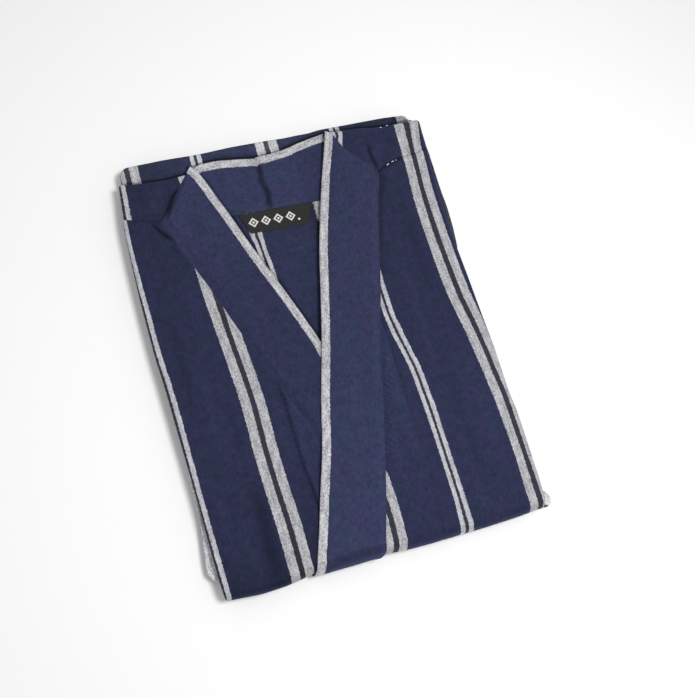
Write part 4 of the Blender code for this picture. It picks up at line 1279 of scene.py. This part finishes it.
def striped_cotton(scene, name, ground, crease_scale=1.0, light=1.0):
    """Puckered plain-weave cotton: navy ground, flecked white and grey stripes."""
    cloth, colours = scene.yukata_cloth, scene.yukata_colours
    finish = Finish(name, ground, 0.88, 0.03)
    uv, across, along = finish.on_cloth()

    ragged = finish.noise(uv, 480.0, 3.0, 0.7, (1.0, 0.8, 1.0))
    wander = finish.math("MULTIPLY_ADD", ragged, 0.0026, finish.math("ADD", across, -0.0013))
    wide, in_wide = stripe(finish, wander, 0.0, cloth.wide_spacing, cloth.wide_width, cloth.period)
    narrow, in_narrow = stripe(
        finish, wander, cloth.period / 2, cloth.narrow_spacing, cloth.narrow_width, cloth.period
    )

    flecks = finish.noise(uv, 900.0, 3.0, 0.65, (1.0, 0.55, 1.0))
    patches = finish.noise(uv, 260.0, 2.0, 0.5, (1.0, 0.3, 1.0))
    grey_share = finish.ramp(finish.math("MULTIPLY_ADD", patches, 0.5, flecks), 0.55, 0.95)
    wide_yarn = finish.mix(grey_share, scaled(colours.wide_stripe, light), colours.fleck)
    narrow_yarn = finish.mix(finish.math("MULTIPLY", grey_share, 0.8), colours.narrow_stripe, colours.fleck)
    dark_flecks = finish.ramp(finish.noise(uv, 1500.0, 1.0, 0.5, (1.0, 0.4, 1.0)), 0.64, 0.74)

    mottle = finish.noise(uv, 110.0, 3.0, 0.6)
    fine = finish.noise(uv, 420.0, 2.0, 0.6, (1.0, 0.5, 1.0))
    tone = finish.math("MULTIPLY_ADD", mottle, 0.7, finish.math("MULTIPLY_ADD", fine, 1.0, 0.15))
    # The shade attribute is painted shade and light: it darkens or lightens the dye and the stripes' yarn.
    shade = finish.node("ShaderNodeAttribute", {"attribute_name": "shade"}).outputs["Fac"]
    tone = finish.math("MULTIPLY", tone, finish.math("MAXIMUM", finish.math("ADD", shade, 1.0), 0.35))
    cool = finish.ramp(finish.noise(uv, 55.0, 2.0, 0.5, (1.0, 0.5, 1.0)), 0.36, 0.64)
    dye = finish.mix(cool, scaled(ground, 1.07, 0.97, 1.03), scaled(ground, 0.93, 1.04, 0.97))
    dye = finish.mix(finish.math("MAXIMUM", in_wide, in_narrow), dye, colours.gap)
    dyed = finish.dimmed(dye, tone)
    yarn_tone = finish.math("MINIMUM", finish.math("MAXIMUM", finish.math("ADD", shade, 1.3), 0.3), 1.0)
    yarn_tone = finish.math("MULTIPLY_ADD", finish.math("MAXIMUM", shade, 0.0), 0.45, yarn_tone)
    yarn = finish.dimmed(finish.mix(narrow, wide_yarn, narrow_yarn), yarn_tone)
    flecked = finish.mix(finish.math("MULTIPLY", dark_flecks, 0.45), yarn, dyed)
    finish.join(finish.mix(finish.math("MAXIMUM", wide, narrow), dyed, flecked), "Base Color")

    wales = finish.noise(uv, 620.0, 2.0, 0.5, (1.0, 0.22, 1.0))
    ticks = finish.noise(uv, 480.0, 1.0, 0.5, (0.4, 1.0, 1.0))
    pucker = finish.math("ADD", finish.math("MULTIPLY", wales, 0.6), finish.math("MULTIPLY", ticks, 0.4))
    warp, weft = finish.waves(across, cloth.thread_pitch), finish.waves(along, cloth.thread_pitch / 0.8)
    weave = finish.math("MULTIPLY_ADD", finish.math("MULTIPLY", warp, weft), 0.5, 0.5)
    rough = finish.bump(pucker, cloth.pucker * crease_scale)
    finish.join(finish.bump(weave, cloth.thread_pitch * 0.12, Normal=rough), "Normal")
    finish.join(finish.ramp(fine, 0.3, 0.7, 0.82, 0.94), "Roughness")
    return finish.material


def label_tape(colours):
    """Near-black woven tape with a row of off-white lozenges, open in the middle, and a dot at the end."""
    finish = Finish("Label tape", colours.label, 0.7, 0.05)
    uv, across, along = finish.on_cloth()
    pitch, first, last, middle = 0.0126, 0.0124, 3.0, 0.0106
    nearest = finish.math("ROUND", finish.math("DIVIDE", finish.math("SUBTRACT", across, first), pitch))
    nearest = finish.math("MINIMUM", finish.math("MAXIMUM", nearest, 0.0), last)
    aside = finish.apart(across, finish.math("MULTIPLY_ADD", nearest, pitch, first))
    reach = finish.math("ADD", aside, finish.apart(along, middle))
    ring = finish.math("MULTIPLY", finish.ramp(reach, 0.0053, 0.0049), finish.ramp(reach, 0.0029, 0.0033))
    from_dot = finish.math("ADD", finish.apart(across, 0.0579), finish.apart(along, 0.0060))
    motif = finish.math("MAXIMUM", ring, finish.ramp(reach, 0.0017, 0.0014))
    motif = finish.math("MAXIMUM", motif, finish.ramp(from_dot, 0.0016, 0.0013))
    picks = finish.waves(finish.math("ADD", across, along), 0.0008)
    weave = finish.math("MULTIPLY_ADD", finish.math("ADD", finish.waves(along, 0.0005), picks), 0.25, 0.5)
    off_white = finish.mix(finish.noise(uv, 900.0), (0.55, 0.54, 0.50), (0.80, 0.79, 0.74))
    ground = finish.mix(finish.noise(uv, 500.0), colours.label, scaled(colours.label, 1.6))
    finish.join(finish.mix(motif, ground, off_white), "Base Color")
    finish.join(finish.bump(finish.math("MULTIPLY_ADD", motif, 0.8, weave), 0.00012), "Normal")
    return finish.material


def thread_finish(name, colour):
    """Twisted sewing thread."""
    finish = Finish(name, colour, 0.6, 0.2)
    place = finish.node("ShaderNodeTexCoord").outputs["Object"]
    finish.join(finish.mix(finish.noise(place, 2500.0), scaled(colour, 0.75), colour), "Base Color")
    finish.join(finish.bump(finish.noise(place, 3000.0, stretch=(1, 4, 1)), 0.00008), "Normal")
    return finish.material


def floor_finish(colour):
    """Smooth pale paper."""
    finish = Finish("Pale floor", colour, 0.9, 0.0)
    place = finish.node("ShaderNodeTexCoord").outputs["Object"]
    finish.join(finish.mix(finish.noise(place, 40.0), scaled(colour, 0.99), colour), "Base Color")
    return finish.material


# ---------------------------------------------------------------- settings


def length_setting(name, description, default):
    return bpy.props.FloatProperty(name=name, description=description, default=default, unit="LENGTH")


def colour_setting(name, description, default):
    return bpy.props.FloatVectorProperty(
        name=name, description=description, default=default, subtype="COLOR", size=3, min=0.0, max=1.0
    )


class YukataCloth(bpy.types.PropertyGroup):
    """Sizes of the cloth and its stripes."""

    thickness: length_setting("Thickness", "Thickness of the cloth shell", 0.8 * MM)
    period: length_setting("Pattern width", "Width after which the stripes come again", 0.138)
    wide_width: length_setting("Wide stripe", "Width of each stripe of the wide pair", 0.0087)
    wide_spacing: length_setting("Wide spacing", "Distance between the wide pair's middles", 0.014)
    narrow_width: length_setting("Narrow stripe", "Width of each stripe of the narrow pair", 0.0041)
    narrow_spacing: length_setting("Narrow spacing", "Distance between the narrow pair's middles", 0.007)
    pucker: length_setting("Pucker", "Height of the small puckers in the weave", 0.6 * MM)
    thread_pitch: length_setting("Thread pitch", "Distance between two warp threads", 0.5 * MM)


class YukataColours(bpy.types.PropertyGroup):
    """Colours of the cloth, the label and the floor."""

    navy: colour_setting("Navy", "Ground of the striped cloth", (0.0225, 0.0262, 0.0635))
    collar_navy: colour_setting("Collar navy", "Ground of the collar's cloth", (0.0275, 0.032, 0.075))
    wide_stripe: colour_setting("Wide stripe", "Light yarn of the wide stripes", (0.53, 0.53, 0.545))
    narrow_stripe: colour_setting("Narrow stripe", "Light yarn of the narrow stripes", (0.56, 0.57, 0.61))
    gap: colour_setting("Gap", "Charcoal yarn between the stripes of a pair", (0.034, 0.0345, 0.049))
    fleck: colour_setting("Fleck", "Grey yarn in the stripes", (0.22, 0.22, 0.25))
    label: colour_setting("Label", "Ground of the woven label", (0.0195, 0.019, 0.0185))
    white_thread: colour_setting("White thread", "Thread of the shoulder seams", (0.62, 0.63, 0.68))
    navy_thread: colour_setting("Navy thread", "Thread of the collar", (0.075, 0.08, 0.14))
    floor: colour_setting("Floor", "Pale floor", (0.905, 0.905, 0.905))


class YukataStudio(bpy.types.PropertyGroup):
    """The plain studio round the packet."""

    key_power: bpy.props.FloatProperty(
        name="Key light", description="Power of the large soft light", default=9.3, unit="POWER"
    )
    sky: bpy.props.FloatProperty(
        name="Surround", description="Brightness of the white surround", default=0.55, min=0.0
    )


# ---------------------------------------------------------------- operators


class YUKATA_OT_folded_layers(bpy.types.Operator):
    """Make the folded layers that lie under the fronts"""

    bl_idname = "yukata.folded_layers"
    bl_label = "Folded layers"

    def execute(self, context):
        scene = context.scene
        piece = folded_core()
        # A darker, greyer copy of the navy: painted shade on the lower layers, which lie in the shade of the
        # pieces above.
        navy = scaled(scene.yukata_colours.navy, 0.85, 0.85, 0.76)
        dress(piece, "folded_layers", striped_cotton(scene, "Lower layers' cotton", navy))
        return {"FINISHED"}


class YUKATA_OT_fronts(bpy.types.Operator):
    """Make the two front panels with their side folds"""

    bl_idname = "yukata.fronts"
    bl_label = "Fronts"

    def execute(self, context):
        scene = context.scene
        finish = striped_cotton(scene, "Striped cotton", scene.yukata_colours.navy)
        for side, width, area in (("left", 0.117, 0.0335), ("right", 0.122, 0.0400)):
            piece = front(side, scene.yukata_cloth)
            dress(piece, f"{side}_front", finish)
        return {"FINISHED"}


class YUKATA_OT_overlaps(bpy.types.Operator):
    """Make the tapered overlap panels beside the fronts"""

    bl_idname = "yukata.overlaps"
    bl_label = "Overlaps"

    def execute(self, context):
        scene = context.scene
        finish = bpy.data.materials["Striped cotton"]
        for side, flat, area in (("left", (0.024, 0.190), 0.0032), ("right", (0.072, 0.225), 0.0085)):
            piece = overlap(side, scene.yukata_cloth)
            dress(piece, f"{side}_overlap", finish)
        return {"FINISHED"}


class YUKATA_OT_shoulders(bpy.types.Operator):
    """Make the shoulders, brought over from the back"""

    bl_idname = "yukata.shoulders"
    bl_label = "Shoulders"

    def execute(self, context):
        scene = context.scene
        finish = bpy.data.materials["Striped cotton"]
        for side, flat, area in (("left", (0.076, 0.048), 0.0030), ("right", (0.112, 0.061), 0.0052)):
            piece = shoulder(side, scene.yukata_cloth)
            dress(piece, f"{side}_shoulder", finish)
        return {"FINISHED"}


class YUKATA_OT_back(bpy.types.Operator):
    """Make the inside of the back, seen in the neck opening"""

    bl_idname = "yukata.back"
    bl_label = "Back"

    def execute(self, context):
        scene = context.scene
        finish = striped_cotton(scene, "Back's cotton", scene.yukata_colours.collar_navy)
        for side, width in (("left", 0.064), ("right", 0.065)):
            piece = back(side, scene.yukata_cloth)
            dress(piece, f"{side}_back", finish)
        return {"FINISHED"}


class YUKATA_OT_collars(bpy.types.Operator):
    """Make the collar bands in front and behind the neck"""

    bl_idname = "yukata.collars"
    bl_label = "Collars"

    def execute(self, context):
        scene = context.scene
        finish = striped_cotton(scene, "Collar cotton", scene.yukata_colours.collar_navy, 0.8, 1.15)
        for side, data in COLLARS.items():
            piece = collar(side, scene.yukata_cloth)
            dress(piece, f"{side}_collar", finish)
            piece = back_collar(side, scene.yukata_cloth)
            dress(piece, f"back_collar_{side}", finish)
        return {"FINISHED"}


class YUKATA_OT_label(bpy.types.Operator):
    """Make the woven label with its plain row of lozenges"""

    bl_idname = "yukata.label"
    bl_label = "Label"

    def execute(self, context):
        piece = neck_label()
        dress(piece, "neck_label", label_tape(context.scene.yukata_colours))
        return {"FINISHED"}


class YUKATA_OT_stitches(bpy.types.Operator):
    """Sew the stitches that show on the shoulder seam, the right collar and the label"""

    bl_idname = "yukata.stitches"
    bl_label = "Stitches"

    def execute(self, context):
        colours = context.scene.yukata_colours
        white = thread_finish("White thread", colours.white_thread)
        navy = thread_finish("Navy thread", colours.navy_thread)
        black = thread_finish("Black thread", scaled(colours.label, 1.5))
        runs = [((s.x0, s.y0, s.z), (s.x1, s.y1, s.z), s.radius) for s in SHOULDER_STITCHES]
        stitches("shoulder_stitches", runs, white)
        stitches("collar_stitches", collar_stitch_runs(), navy)
        stitches("label_stitches", label_stitch_runs(), black)
        return {"FINISHED"}


def stood(name, data, place, turn):
    """An object of the studio, at its place and turned."""
    made = bpy.data.objects.new(name, data)
    made.location = place
    made.rotation_euler = turn
    bpy.context.scene.collection.objects.link(made)
    return made


class YUKATA_OT_studio(bpy.types.Operator):
    """Set the pale floor, the soft light and the camera"""

    bl_idname = "yukata.studio"
    bl_label = "Studio"

    def execute(self, context):
        scene = context.scene
        studio = scene.yukata_studio
        shape = bmesh.new()
        bmesh.ops.create_grid(shape, x_segments=1, y_segments=1, size=FLOOR_SIZE / 2)
        floor = object_of("floor", shape)
        floor.data.materials.append(floor_finish(scene.yukata_colours.floor))

        world = bpy.data.worlds.new("White surround")
        world.use_nodes = True
        world.node_tree.nodes["Background"].inputs["Color"].default_value = (1.0, 1.0, 1.0, 1.0)
        world.node_tree.nodes["Background"].inputs["Strength"].default_value = studio.sky
        scene.world = world
        light = bpy.data.lights.new("key_light", "AREA")
        light.shape = "DISK"
        light.size = LIGHT_SIZE
        light.energy = studio.key_power
        stood("key_light", light, LIGHT_PLACE, (-Vector(LIGHT_PLACE)).to_track_quat("-Z", "Y").to_euler())

        camera = bpy.data.cameras.new("camera")
        camera.sensor_width = SENSOR
        camera.lens = CAMERA_LENS
        camera.clip_start = 0.05
        camera.clip_end = 50.0
        scene.camera = stood("camera", camera, CAMERA_PLACE, [math.radians(turn) for turn in CAMERA_TURN])
        scene.view_settings.view_transform = "Standard"
        return {"FINISHED"}


STEPS = (
    YUKATA_OT_folded_layers,
    YUKATA_OT_fronts,
    YUKATA_OT_overlaps,
    YUKATA_OT_shoulders,
    YUKATA_OT_back,
    YUKATA_OT_collars,
    YUKATA_OT_label,
    YUKATA_OT_stitches,
    YUKATA_OT_studio,
)


class YUKATA_PT_panel(bpy.types.Panel):
    """The packet's settings and its steps, in the order they are run"""

    bl_idname = "YUKATA_PT_panel"
    bl_label = "Folded yukata"
    bl_space_type = "VIEW_3D"
    bl_region_type = "UI"
    bl_category = "Yukata"

    def draw(self, context):
        for group in (context.scene.yukata_cloth, context.scene.yukata_colours, context.scene.yukata_studio):
            for name in group.__annotations__:
                self.layout.prop(group, name)
        for step in STEPS:
            self.layout.operator(step.bl_idname)


SETTINGS = {"yukata_cloth": YukataCloth, "yukata_colours": YukataColours, "yukata_studio": YukataStudio}


def register():
    for group in SETTINGS.values():
        bpy.utils.register_class(group)
    for name, group in SETTINGS.items():
        setattr(bpy.types.Scene, name, bpy.props.PointerProperty(type=group))
    for step in (*STEPS, YUKATA_PT_panel):
        bpy.utils.register_class(step)


def unregister():
    for step in reversed((*STEPS, YUKATA_PT_panel)):
        bpy.utils.unregister_class(step)
    for name, group in SETTINGS.items():
        delattr(bpy.types.Scene, name)
        bpy.utils.unregister_class(group)


def main():
    register()
    for step in STEPS:
        area, name = step.bl_idname.split(".")
        getattr(getattr(bpy.ops, area), name)()


if __name__ == "__main__":
    main()
